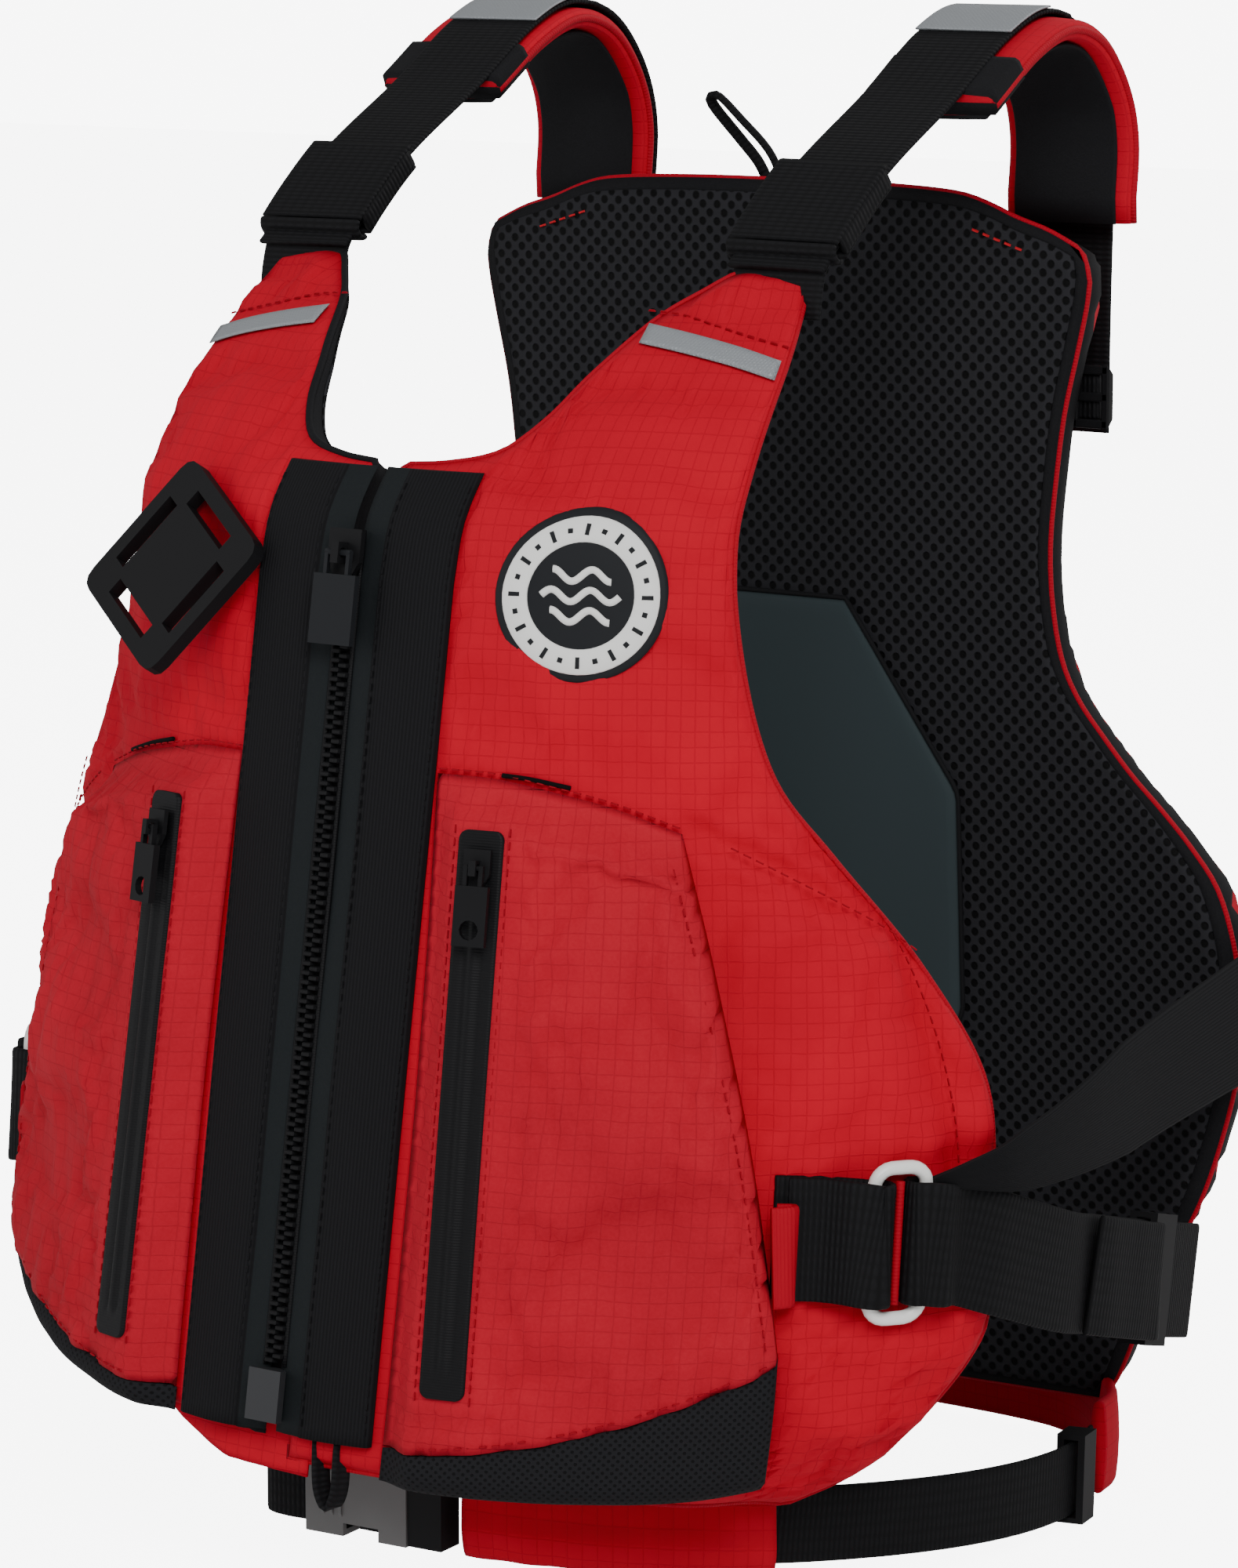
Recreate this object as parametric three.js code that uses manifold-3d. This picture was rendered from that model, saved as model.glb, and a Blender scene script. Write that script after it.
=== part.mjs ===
// Paddling life jacket: two zipped foam front panels, a foam back panel, padded shoulders,
// side belts, a buckled waist belt, two zipped pockets and a lash tab.
// Millimetres, +Z up. The wearer looks along -Y and their left side is +X.
// The origin is under the middle of the jacket, level with its lowest edge.
import * as THREE from 'three';
import { mergeVertices } from 'three/addons/utils/BufferGeometryUtils.js';
import Module from 'manifold-3d';

const wasm = await Module();
wasm.setup();

// ---- Driving dimensions -------------------------------------------------------------------
const CHEST_HALF_WIDTH = 210;   // middle of the jacket to the widest point of a front panel
const CHEST_DEPTH = 208.4;      // arm line to the front, at the floor
const PANEL_TOP = 433;          // top of the front panels, where the straps start
const PANEL_BOTTOM = 48;
const STRAIGHT_TOP = PANEL_TOP - 96;  // the front rises in a straight line up to here
const TOP_DEPTH = 60;           // arm line to the front, at PANEL_TOP
const ZIP_LEAN = 0.17;          // how far the front leans back for each unit of height
const NECK_HEIGHT = PANEL_TOP - 61;   // bottom of the neck opening

const SHELL = 2;                // outer cloth, doubled at its seams
const FRONT_FOAM = 25;
const EDGE_SLOPE = 0.45;        // how far the edge of a front panel slopes in for each unit of depth
const BACK_FOAM = 30;
const BACK_TAPER = 24;          // how far the back panel's edge slopes in over its thickness
const LINING = 2;
const GAP = 0.4;                // air between neighbours
const SKIN_GAP = 1.2;           // air under a piece that lies on the curved front

const BACK_FACE = 97;           // arm line to the inner face of the back panel
const STRAP_X = 98;             // middle of the jacket to the middle of a shoulder strap
const SHOULDER_TOP = PANEL_TOP + 82;  // height of the shoulder strap at its highest
const STRAP_WIDTH = 38;
const PAD_X = 103;
const PAD_WIDTH = 50;
const PAD_THICKNESS = 9;
const WEBBING = 2;              // thickness of every strap and belt

const ZIP_HALF_GAP = 5;         // middle of the zip to the edge of a front panel
const CHAIN_WIDTH = 8.6;
const CHAIN_THICKNESS = 3;
const CHAIN_BOTTOM = 82;
const CHAIN_TOP = PANEL_TOP - 81;
const PLACKET_EDGE = 39;        // middle of the zip to the outer edge of its tape
const PLACKET_BOTTOM = 62;
const TAPE = 1.6;

const POCKET_BULGE = 12;
const POCKET_INNER_ANGLE = 11.8;
const POCKET_TOP = 277;
const POCKET_SEAM = 62;         // height of the seam to the pocket's lower panel, at its lowest
const POCKET_BASE_BOTTOM = 50;
const POCKET_ZIP_ANGLE = 18;
const POCKET_ZIP_TOP = 262;
const POCKET_ZIP_BOTTOM = 82;
const POCKET_TAPE_WIDTH = 15;

const EMBLEM_RADIUS = 28;
const EMBLEM_ANGLE = 25.8;
const EMBLEM_HEIGHT = PANEL_TOP - 97.5;
const LASH_TAB_HEIGHT = PANEL_TOP - 105;
const LASH_TAB_SIDE = 57;
const LASH_TAB_THICKNESS = 5;

const SIDE_BELT_WIDTH = 40;
const RING_HEIGHT = 52;
const RING_WIDTH = 20;
const RING_ROD = 4;
const RING_ANGLE = 57;
const RING_Z = 131;
const RING_LIFT = 7.4;          // middle of the ring's rod above the cloth

const WAIST_RADIUS = 161;
const WAIST_TUCK = 8;             // how far the right belt lies inside the left one's circle
const WAIST_TUCK_RISE = 22;       // how much higher it lies, behind the front panel
const WAIST_FLARE = 8;            // how much wider the waist belt is by its adjusters
const WAIST_BELT_WIDTH = 26;
const BELT_WING_WIDTH = 24;
const BUCKLE_LENGTH = 40;
const BUCKLE_HEIGHT = 30;
const BUCKLE_THICKNESS = 12;
const BUCKLE_Z = 33;
const SLIDE_CLEARANCE = 0.6;    // between a moving piece and what it runs on
const LOOP_WALL = 2.5;          // wall of a loop that runs along a strap, above and below it

// ---- Materials ----------------------------------------------------------------------------
function cloth(color) {
  return new THREE.MeshStandardMaterial({ color, roughness: 0.85, metalness: 0 });
}

function plastic(color, roughness = 0.45) {
  return new THREE.MeshStandardMaterial({ color, roughness, metalness: 0 });
}

const RED_CLOTH = cloth(0xc8142a);
const BLACK_CLOTH = cloth(0x1c1d20);
const MESH_CLOTH = cloth(0x17181b);
const SLATE_CLOTH = cloth(0x303c40);
const WEBBING_CLOTH = cloth(0x1b1b1d);
const FOAM = new THREE.MeshStandardMaterial({ color: 0xd8d4c8, roughness: 0.95, metalness: 0 });
const REFLECTIVE = new THREE.MeshStandardMaterial({ color: 0xa8adb2, roughness: 0.35, metalness: 0.2 });
const BLACK_PLASTIC = plastic(0x1d1e20);
const GREY_PLASTIC = plastic(0x6b6b6c);
const WHITE_PLASTIC = plastic(0xe4e4e0, 0.35);
const RUBBER = plastic(0x2c2d30, 0.7);

// ---- Solids -------------------------------------------------------------------------------
function bare(geometry) {
  const copy = geometry.clone();
  copy.deleteAttribute('normal');
  copy.deleteAttribute('uv');
  return mergeVertices(copy, 1e-3);
}

function toSolid(geometry) {
  const merged = bare(geometry);
  return new wasm.Manifold(new wasm.Mesh({
    numProp: 3,
    vertProperties: new Float32Array(merged.attributes.position.array),
    triVerts: new Uint32Array(merged.index.array),
  }));
}

function toGeometry(solid) {
  const mesh = solid.getMesh();
  const geometry = new THREE.BufferGeometry();
  geometry.setAttribute('position', new THREE.BufferAttribute(mesh.vertProperties, 3));
  geometry.setIndex(new THREE.BufferAttribute(mesh.triVerts, 1));
  return geometry;
}

function cut(body, ...tools) {
  return toGeometry(tools.reduce((left, tool) => left.subtract(toSolid(tool)), toSolid(body)));
}

function join(body, ...others) {
  return toGeometry(others.reduce((sum, other) => sum.add(toSolid(other)), toSolid(body)));
}

function signedVolume(points, index) {
  let volume = 0;
  for (let i = 0; i < index.length; i += 3) {
    const [a, b, c] = [points[index[i]], points[index[i + 1]], points[index[i + 2]]];
    volume += a.dot(new THREE.Vector3().crossVectors(b, c)) / 6;
  }
  return volume;
}

// The closed solid between two grids of points of the same size.
function solidBetween(front, back) {
  const rows = front.length;
  const cols = front[0].length;
  const points = [...front.flat(), ...back.flat()];
  const index = [];
  const f = (row, col) => row * cols + col;
  const b = (row, col) => (rows + row) * cols + col;
  const quad = (p, q, r, s) => index.push(p, q, r, p, r, s);
  for (let r = 0; r < rows - 1; r += 1) {
    for (let c = 0; c < cols - 1; c += 1) {
      quad(f(r, c), f(r, c + 1), f(r + 1, c + 1), f(r + 1, c));
      quad(b(r, c), b(r + 1, c), b(r + 1, c + 1), b(r, c + 1));
    }
    quad(f(r, 0), f(r + 1, 0), b(r + 1, 0), b(r, 0));
    quad(f(r, cols - 1), b(r, cols - 1), b(r + 1, cols - 1), f(r + 1, cols - 1));
  }
  for (let c = 0; c < cols - 1; c += 1) {
    quad(f(0, c), b(0, c), b(0, c + 1), f(0, c + 1));
    quad(f(rows - 1, c), f(rows - 1, c + 1), b(rows - 1, c + 1), b(rows - 1, c));
  }
  const faces = signedVolume(points, index) < 0 ? index.reverse() : index;
  const geometry = new THREE.BufferGeometry();
  geometry.setAttribute('position', new THREE.Float32BufferAttribute(points.flatMap((p) => p.toArray()), 3));
  geometry.setIndex(faces);
  return geometry;
}

function box(width, depth, height, x = 0, y = 0, z = 0) {
  return new THREE.BoxGeometry(width, depth, height).translate(x, y, z);
}

// A flat outline drawn in X and Z, made solid from yFront to yBack.
function plate(shape, yFront, yBack, curveSegments = 3) {
  const geometry = new THREE.ExtrudeGeometry(shape, {
    depth: yBack - yFront,
    bevelEnabled: false,
    curveSegments,
  });
  return geometry.rotateX(Math.PI / 2).translate(0, yBack, 0);
}

// Triangles that fill an outline, each turning the way the outline does.
function capTriangles(outline) {
  const turn = THREE.ShapeUtils.area(outline);
  return THREE.ShapeUtils.triangulateShape(outline, []).map(([p, q, r]) => {
    const same = THREE.ShapeUtils.area([outline[p], outline[q], outline[r]]) * turn > 0;
    return same ? [p, q, r] : [r, q, p];
  });
}

// The closed solid through outlines of the same number of points, each flat at its own Y.
function loftedPlate(outlines, depths) {
  const count = outlines[0].length;
  const points = outlines.flatMap((ring, i) => ring.map((p) => new THREE.Vector3(p.x, depths[i], p.y)));
  const index = [];
  for (let i = 0; i < outlines.length - 1; i += 1) {
    for (let j = 0; j < count; j += 1) {
      const next = (j + 1) % count;
      const [a, b, c, d] = [i * count + j, i * count + next, (i + 1) * count + next, (i + 1) * count + j];
      index.push(a, b, c, a, c, d);
    }
  }
  const last = (outlines.length - 1) * count;
  capTriangles(outlines[0]).forEach(([p, q, r]) => index.push(r, q, p));
  capTriangles(outlines[outlines.length - 1]).forEach((face) => index.push(...face.map((k) => last + k)));
  const faces = signedVolume(points, index) < 0 ? index.reverse() : index;
  const geometry = new THREE.BufferGeometry();
  geometry.setAttribute('position', new THREE.Float32BufferAttribute(points.flatMap((p) => p.toArray()), 3));
  geometry.setIndex(faces);
  return geometry;
}

// A flat strap along a path; `across` is the direction of its width.
function ribbon(path, width, thickness, across = new THREE.Vector3(0, 0, 1)) {
  const front = [];
  const back = [];
  path.forEach((point, i) => {
    const before = path[Math.max(i - 1, 0)];
    const after = path[Math.min(i + 1, path.length - 1)];
    const along = new THREE.Vector3().subVectors(after, before).normalize();
    const wide = across.clone().addScaledVector(along, -across.dot(along)).normalize();
    const normal = new THREE.Vector3().crossVectors(along, wide);
    const edge = (s, t) => point.clone().addScaledVector(wide, s).addScaledVector(normal, t);
    front.push([edge(-width / 2, thickness / 2), edge(width / 2, thickness / 2)]);
    back.push([edge(-width / 2, -thickness / 2), edge(width / 2, -thickness / 2)]);
  });
  return solidBetween(front, back);
}

function smoothPath(points, steps) {
  return new THREE.CatmullRomCurve3(points, false, 'centripetal').getSpacedPoints(steps);
}

// ---- The curved front ---------------------------------------------------------------------
function readTable(table, at) {
  if (at <= table[0][0]) return table[0][1];
  for (let i = 1; i < table.length; i += 1) {
    const [low, lowValue] = table[i - 1];
    const [high, highValue] = table[i];
    if (at <= high) return lowValue + (highValue - lowValue) * ((at - low) / (high - low));
  }
  return table[table.length - 1][1];
}

// Half width of the chest: share of PANEL_TOP, share of CHEST_HALF_WIDTH.
const WIDTH_TABLE = [[0, 0.95], [0.111, 0.986], [0.2, 1], [0.35, 1], [0.5, 0.975], [0.647, 0.92],
  [0.778, 0.886], [0.93, 0.852], [1, 0.786]];
// How the top of the front curls back: share of the rise, share of the way to TOP_DEPTH.
const CURL_TABLE = [[0, 0], [0.18, 0.055], [0.36, 0.19], [0.69, 0.55], [1, 1]];
// Outer edge of a front panel: share of PANEL_TOP, angle round the chest from the zip.
const OUTER_EDGE = [[0.111, 46], [0.143, 58], [0.2, 67], [0.26, 69.5], [0.393, 69], [0.5, 61],
  [0.582, 52], [0.647, 45.5], [0.753, 42], [1, 41.5]];
// Neck edge: share of the way from NECK_HEIGHT to PANEL_TOP, angle round the chest.
const NECK_EDGE = [[0, 2], [0.07, 12.5], [0.41, 18], [0.75, 22.5], [1, 31]];

function frontWidth(z) {
  return CHEST_HALF_WIDTH * readTable(WIDTH_TABLE, z / PANEL_TOP);
}

function frontDepth(z) {
  if (z <= STRAIGHT_TOP) return CHEST_DEPTH - ZIP_LEAN * z;
  const start = CHEST_DEPTH - ZIP_LEAN * STRAIGHT_TOP;
  const curl = readTable(CURL_TABLE, (z - STRAIGHT_TOP) / (PANEL_TOP - STRAIGHT_TOP));
  return start - curl * (start - TOP_DEPTH);
}

// A point of the front, `lift` outside the outer cloth, `degrees` round the chest from the zip.
function frontPoint(side, degrees, z, lift = 0) {
  const angle = THREE.MathUtils.degToRad(degrees);
  const x = side * (frontWidth(z) + lift) * Math.sin(angle);
  return new THREE.Vector3(x, -(frontDepth(z) + lift) * Math.cos(angle), z);
}

function angleAtX(x, z) {
  return THREE.MathUtils.radToDeg(Math.asin(x / frontWidth(z)));
}

const OUTER_EDGE_HEIGHTS = OUTER_EDGE.map(([share]) => share * PANEL_TOP);
const CURL_HEIGHTS = CURL_TABLE.map(([share]) => STRAIGHT_TOP + share * (PANEL_TOP - STRAIGHT_TOP));
const NECK_HEIGHTS = NECK_EDGE.map(([share]) => NECK_HEIGHT + share * (PANEL_TOP - NECK_HEIGHT));
const WIDTH_HEIGHTS = WIDTH_TABLE.map(([share]) => share * PANEL_TOP);
const STATIONS = [...OUTER_EDGE_HEIGHTS, ...CURL_HEIGHTS, ...NECK_HEIGHTS, ...WIDTH_HEIGHTS]
  .sort((a, b) => a - b)
  .filter((z, i, all) => i === 0 || z - all[i - 1] > 3);

// The heights where the front changes slope, with `low` and `high` as the ends.
function heightsBetween(low, high) {
  return [low, ...STATIONS.filter((z) => z > low + 3 && z < high - 3), high];
}

function outerAngle(z) {
  return readTable(OUTER_EDGE, z / PANEL_TOP);
}

function innerAngle(z) {
  if (z <= NECK_HEIGHT) return angleAtX(ZIP_HALF_GAP, z);
  return readTable(NECK_EDGE, (z - NECK_HEIGHT) / (PANEL_TOP - NECK_HEIGHT));
}

const FOAM_DEPTH = SHELL + 2 * GAP;
const LINING_DEPTH = FOAM_DEPTH + FRONT_FOAM + GAP;
const PANEL_DEPTH = LINING_DEPTH + LINING;

// Share of the full foam thickness at a height: the panels thin out towards the straps.
const THICKNESS_TABLE = [[0, 1], [0.74, 1], [0.86, 0.65], [1, 0.3]];

// Depth of a layer at a height: only the foam gets thinner, not the cloth on either side of it.
function layerDepth(depth, z) {
  const foam = THREE.MathUtils.clamp(depth - FOAM_DEPTH, 0, FRONT_FOAM);
  return depth - foam * (1 - readTable(THICKNESS_TABLE, z / PANEL_TOP));
}

// One layer of a front panel as a grid of points, pulled in from the panel's outline by `inset`.
// Deeper layers are pulled in further, so the panel's edge slopes.
function panelGrid(side, depth, inset) {
  const columns = 4;
  return heightsBetween(PANEL_BOTTOM + inset, PANEL_TOP - inset).map((z) => {
    const slope = EDGE_SLOPE * Math.max(layerDepth(depth, z) - FOAM_DEPTH, 0);
    const margin = THREE.MathUtils.radToDeg((1.6 * inset + slope) / frontWidth(z));
    const from = Math.max(innerAngle(z), innerAngle(z + inset)) + margin;
    const to = Math.min(outerAngle(z - inset), outerAngle(z), outerAngle(z + inset)) - margin;
    return Array.from({ length: columns + 1 }, (_, c) => {
      return frontPoint(side, from + (to - from) * (c / columns), z, -layerDepth(depth, z));
    });
  });
}

function panelLayer(side, depthFrom, depthTo, inset) {
  return solidBetween(panelGrid(side, depthFrom, inset), panelGrid(side, depthTo, inset));
}

// A patch that lies on the front: `lines` gives, for each height, its first and last angle.
function patchOnFront(side, lines, lift, thickness, columns, bevel = 0) {
  const grid = (height, shrink) => lines.map(({ z, from, to }, i) => {
    const pull = THREE.MathUtils.radToDeg(shrink / frontWidth(z));
    const atEnd = (i === 0 ? shrink : 0) - (i === lines.length - 1 ? shrink : 0);
    return Array.from({ length: columns + 1 }, (_, c) => {
      const angle = from + pull + (to - from - 2 * pull) * (c / columns);
      return frontPoint(side, angle, z + atEnd, height);
    });
  });
  return solidBetween(grid(lift + thickness, bevel), grid(lift, 0));
}

// ---- Scene graph --------------------------------------------------------------------------
const jacket = new THREE.Group();

function add(name, geometry, material, parent = jacket) {
  const mesh = new THREE.Mesh(geometry, material);
  mesh.name = name;
  parent.add(mesh);
  return mesh;
}

const SIDES = [['left', 1], ['right', -1]];

// ---- Front panels -------------------------------------------------------------------------

function addFrontPanel(name, side) {
  const whole = panelLayer(side, 0, PANEL_DEPTH, 0);
  const hollow = panelLayer(side, SHELL, PANEL_DEPTH + 5, SHELL);
  add(`front_${name}_shell`, cut(whole, hollow), RED_CLOTH);
  const fit = SHELL + GAP;
  add(`front_${name}_foam`, panelLayer(side, FOAM_DEPTH, FOAM_DEPTH + FRONT_FOAM, fit), FOAM);
  add(`front_${name}_lining`, panelLayer(side, LINING_DEPTH, PANEL_DEPTH, fit), BLACK_CLOTH);
}

function addPlacket(name, side) {
  const lines = heightsBetween(PLACKET_BOTTOM, NECK_HEIGHT - 2).map((z) => ({
    z,
    from: angleAtX(ZIP_HALF_GAP + 0.5, z),
    to: angleAtX(PLACKET_EDGE, z),
  }));
  add(`placket_${name}`, patchOnFront(side, lines, 1, TAPE, 3), BLACK_CLOTH);
}

// ---- Zips ---------------------------------------------------------------------------------
// A slider that rides on the front of its chain. Local Z runs up the zip and local -Y outwards;
// the origin is in the plane of the tape, at the middle of the slider.
function sliderGeometry(size) {
  const plateBack = -(size.rideHeight + SLIDE_CLEARANCE);
  const plateFront = plateBack - size.plate;
  const nose = new THREE.Shape();
  nose.moveTo(-size.width / 2, size.length / 2);
  nose.lineTo(size.width / 2, size.length / 2);
  nose.lineTo(size.width / 2, -size.length / 6);
  nose.lineTo(size.width / 4, -size.length / 2);
  nose.lineTo(-size.width / 4, -size.length / 2);
  nose.lineTo(-size.width / 2, -size.length / 6);
  nose.closePath();
  const body = plate(nose, plateFront, plateBack);
  const bridgeHeight = size.barRise + size.bar + 1.4;
  const bridge = box(size.bridge, bridgeHeight + 0.5, size.bridgeLength,
    0, plateFront - bridgeHeight / 2 + 0.25, 0);
  const hole = new THREE.CylinderGeometry(size.bar + SLIDE_CLEARANCE, size.bar + SLIDE_CLEARANCE, 20, 12);
  hole.rotateZ(Math.PI / 2).translate(0, plateFront - size.barRise, 0);
  return cut(join(body, bridge), hole);
}

// The pull hangs from a bar through the slider's bridge. The origin is on the bar's axis.
function pullGeometry(size) {
  const bar = new THREE.CylinderGeometry(size.bar, size.bar, size.pullWidth * 0.6, 8);
  bar.rotateZ(Math.PI / 2);
  const neck = size.bridgeLength / 2 + size.barRise + 1;
  const armX = size.pullWidth * 0.3 - 0.7;
  const arms = [-armX, armX].map((x) => box(1.4, 1.8, neck + 1, x, 0, -neck / 2 - 0.5 + 0.9));
  const tab = box(size.pullWidth, 2.4, size.pullLength - neck, 0, 0, -(neck + size.pullLength) / 2);
  const whole = join(bar, ...arms, tab);
  if (!size.eyeRadius) return whole;
  const eye = new THREE.CylinderGeometry(size.eyeRadius, size.eyeRadius, 10, 12);
  return cut(whole, eye.translate(0, 0, -size.pullLength + size.eyeRadius + 2));
}

function barHeight(size) {
  return size.rideHeight + SLIDE_CLEARANCE + size.plate + size.barRise;
}

const MAIN_SLIDER = {
  width: 13, length: 16, plate: 2.2, rideHeight: CHAIN_THICKNESS, bridge: 3, bridgeLength: 7,
  bar: 1.1, barRise: 2.6, pullWidth: 17, pullLength: 30, eyeRadius: 0,
};
const POCKET_SLIDER = {
  width: 9, length: 12, plate: 1.6, rideHeight: 1.5, bridge: 2.4, bridgeLength: 5,
  bar: 0.9, barRise: 2.2, pullWidth: 11, pullLength: 25, eyeRadius: 3.2,
};

// A group whose Z runs up the straight front, `lift` outside the cloth at `degrees`.
function uprightFrame(side, degrees, bottom, top, lift) {
  const low = frontPoint(side, degrees, bottom, lift);
  const high = frontPoint(side, degrees, Math.min(top, STRAIGHT_TOP), lift);
  const up = new THREE.Vector3().subVectors(high, low).normalize();
  const angle = THREE.MathUtils.degToRad(degrees);
  const outward = new THREE.Vector3(side * Math.sin(angle) / frontWidth(bottom),
    -Math.cos(angle) / frontDepth(bottom), 0);
  outward.addScaledVector(up, -outward.dot(up)).normalize();
  const right = new THREE.Vector3().crossVectors(outward.clone().negate(), up);
  const frame = new THREE.Group();
  frame.position.copy(low);
  frame.quaternion.setFromRotationMatrix(new THREE.Matrix4().makeBasis(right, outward.negate(), up));
  jacket.add(frame);
  return { frame, length: (top - bottom) / up.z };
}

function addSliderAndPull(prefix, size, zip, height) {
  const slider = add(`${prefix}_slider`, sliderGeometry(size), size.material, zip.frame);
  slider.position.z = height;
  const pull = add(`${prefix}_pull`, pullGeometry(size), size.pullMaterial, zip.frame);
  pull.position.set(0, -barHeight(size), height);
}

function addMainZip() {
  const zip = uprightFrame(1, 0, CHAIN_BOTTOM, CHAIN_TOP, 0);
  const width = CHAIN_WIDTH / 2 - 0.35;
  for (const [name, side] of SIDES) {
    const chain = box(width, CHAIN_THICKNESS, zip.length, side * (0.35 + width / 2),
      -CHAIN_THICKNESS / 2, zip.length / 2);
    add(`zip_chain_${name}`, chain, BLACK_PLASTIC, zip.frame);
  }
  const boxCore = box(CHAIN_WIDTH, 4.5, 17, 0, -1.5, -9.5);
  const boxCap = box(CHAIN_WIDTH + 4.4, 3, 17, 0, -5, -9.5);
  add('zip_box', join(boxCore, boxCap), GREY_PLASTIC, zip.frame);
  const size = { ...MAIN_SLIDER, material: BLACK_PLASTIC, pullMaterial: RUBBER };
  addSliderAndPull('zip', size, zip, zip.length - size.length / 2);
}

// ---- Pockets ------------------------------------------------------------------------------
function pocketOuterAngle(z) {
  return THREE.MathUtils.mapLinear(z, 95, 261, 47.5, 36.5);
}

// Height of the curved seam between a pocket and its lower panel, and of the pocket's top edge.
function pocketSeam(share) {
  return POCKET_SEAM + 33 * share ** 1.8;
}

function pocketTop(share) {
  return POCKET_TOP - 16 * share ** 2;
}

function pocketGrid(side, lift, shrink, bottomOf, topOf) {
  const columns = 5;
  const rows = 8;
  const bottomAt = Array.from({ length: columns + 1 }, (_, c) => bottomOf(c / columns) + shrink);
  const topAt = Array.from({ length: columns + 1 }, (_, c) => topOf(c / columns) - shrink);
  return Array.from({ length: rows + 1 }, (_, r) => bottomAt.map((bottom, c) => {
    const z = bottom + (topAt[c] - bottom) * (r / rows);
    const pull = THREE.MathUtils.radToDeg(shrink / frontWidth(z));
    const from = POCKET_INNER_ANGLE + pull;
    const to = Math.min(pocketOuterAngle(z), 47) - pull;
    return frontPoint(side, from + (to - from) * (c / columns), z, lift);
  }));
}

function addPocket(name, side) {
  const bag = solidBetween(pocketGrid(side, POCKET_BULGE, 3, pocketSeam, pocketTop),
    pocketGrid(side, SKIN_GAP, 0, pocketSeam, pocketTop));
  add(`pocket_${name}`, bag, RED_CLOTH);
  const seamBelow = (share) => pocketSeam(share) - GAP;
  const hem = () => POCKET_BASE_BOTTOM;
  const base = solidBetween(pocketGrid(side, POCKET_BULGE - 2, 1, hem, seamBelow),
    pocketGrid(side, SKIN_GAP, 0, hem, seamBelow));
  add(`pocket_base_${name}`, base, BLACK_CLOTH);
  const lift = POCKET_BULGE + 0.8;
  const zip = uprightFrame(side, POCKET_ZIP_ANGLE, POCKET_ZIP_BOTTOM, POCKET_ZIP_TOP, lift);
  const tape = box(POCKET_TAPE_WIDTH, 1.2, zip.length, 0, -0.6, zip.length / 2);
  const chain = box(4, 0.6, zip.length - 16, 0, -1.2, zip.length / 2);
  add(`pocket_zip_${name}`, join(tape, chain), BLACK_PLASTIC, zip.frame);
  const size = { ...POCKET_SLIDER, material: BLACK_PLASTIC, pullMaterial: BLACK_PLASTIC };
  addSliderAndPull(`pocket_${name}`, size, zip, zip.length - 12);
}

// ---- Chest trim ---------------------------------------------------------------------------
function addChestBand(name, side) {
  const band = (lower) => [22.3, 28.4, 34.5, 40.5].map((degrees) => {
    const middle = THREE.MathUtils.mapLinear(degrees, 22.3, 40.5, PANEL_TOP - 19, PANEL_TOP - 29);
    return frontPoint(side, degrees, middle + lower, 1);
  });
  const lifted = (points) => points.map((p) => p.clone().add(new THREE.Vector3(0, -1, 0.7)));
  const inner = [band(-4), band(4)];
  add(`reflective_band_${name}`, solidBetween(inner.map(lifted), inner), REFLECTIVE);
}

function addEmblem() {
  const low = EMBLEM_HEIGHT - EMBLEM_RADIUS;
  const high = EMBLEM_HEIGHT + EMBLEM_RADIUS;
  const lines = [low, low + 4, low + 14, ...heightsBetween(low + 20, high - 6), high - 2, high];
  const rows = lines.map((z) => {
    const reach = Math.sqrt(Math.max(EMBLEM_RADIUS ** 2 - (z - EMBLEM_HEIGHT) ** 2, 80));
    const half = THREE.MathUtils.radToDeg(reach / 180);
    return { z, from: EMBLEM_ANGLE - half, to: EMBLEM_ANGLE + half };
  });
  add('emblem', patchOnFront(1, rows, SKIN_GAP, 1.6, 4), RUBBER);
}

function addLashTab() {
  const half = LASH_TAB_SIDE / 2;
  const outline = new THREE.Shape();
  const corner = 6;
  outline.moveTo(-half + corner, -half);
  outline.lineTo(half - corner, -half);
  outline.quadraticCurveTo(half, -half, half, -half + corner);
  outline.lineTo(half, half - corner);
  outline.quadraticCurveTo(half, half, half - corner, half);
  outline.lineTo(-half + corner, half);
  outline.quadraticCurveTo(-half, half, -half, half - corner);
  outline.lineTo(-half, -half + corner);
  outline.quadraticCurveTo(-half, -half, -half + corner, -half);
  const slotLength = 28;
  const slotWidth = 6;
  for (let turn = 0; turn < 4; turn += 1) {
    const slot = new THREE.Path();
    const spin = (x, y) => new THREE.Vector2(x, y).rotateAround(new THREE.Vector2(), turn * Math.PI / 2);
    const corners = [[-slotLength / 2, 17], [slotLength / 2, 17], [slotLength / 2, 17 + slotWidth],
      [-slotLength / 2, 17 + slotWidth]];
    slot.setFromPoints(corners.map(([x, y]) => spin(x, y)));
    slot.closePath();
    outline.holes.push(slot);
  }
  const geometry = plate(outline, -LASH_TAB_THICKNESS / 2, LASH_TAB_THICKNESS / 2);
  const tab = add('lash_tab', geometry, BLACK_PLASTIC);
  const outward = new THREE.Vector3(-0.14, -0.86, 0.49).normalize();
  tab.position.copy(frontPoint(-1, 22.5, LASH_TAB_HEIGHT)).addScaledVector(outward, 13.5);
  const right = new THREE.Vector3().crossVectors(outward, new THREE.Vector3(0, 0, 1)).negate();
  right.normalize();
  const up = new THREE.Vector3().crossVectors(right, outward.clone().negate());
  tab.quaternion.setFromRotationMatrix(new THREE.Matrix4().makeBasis(right, outward.negate(), up));
  tab.rotateY(THREE.MathUtils.degToRad(31));
}

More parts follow.
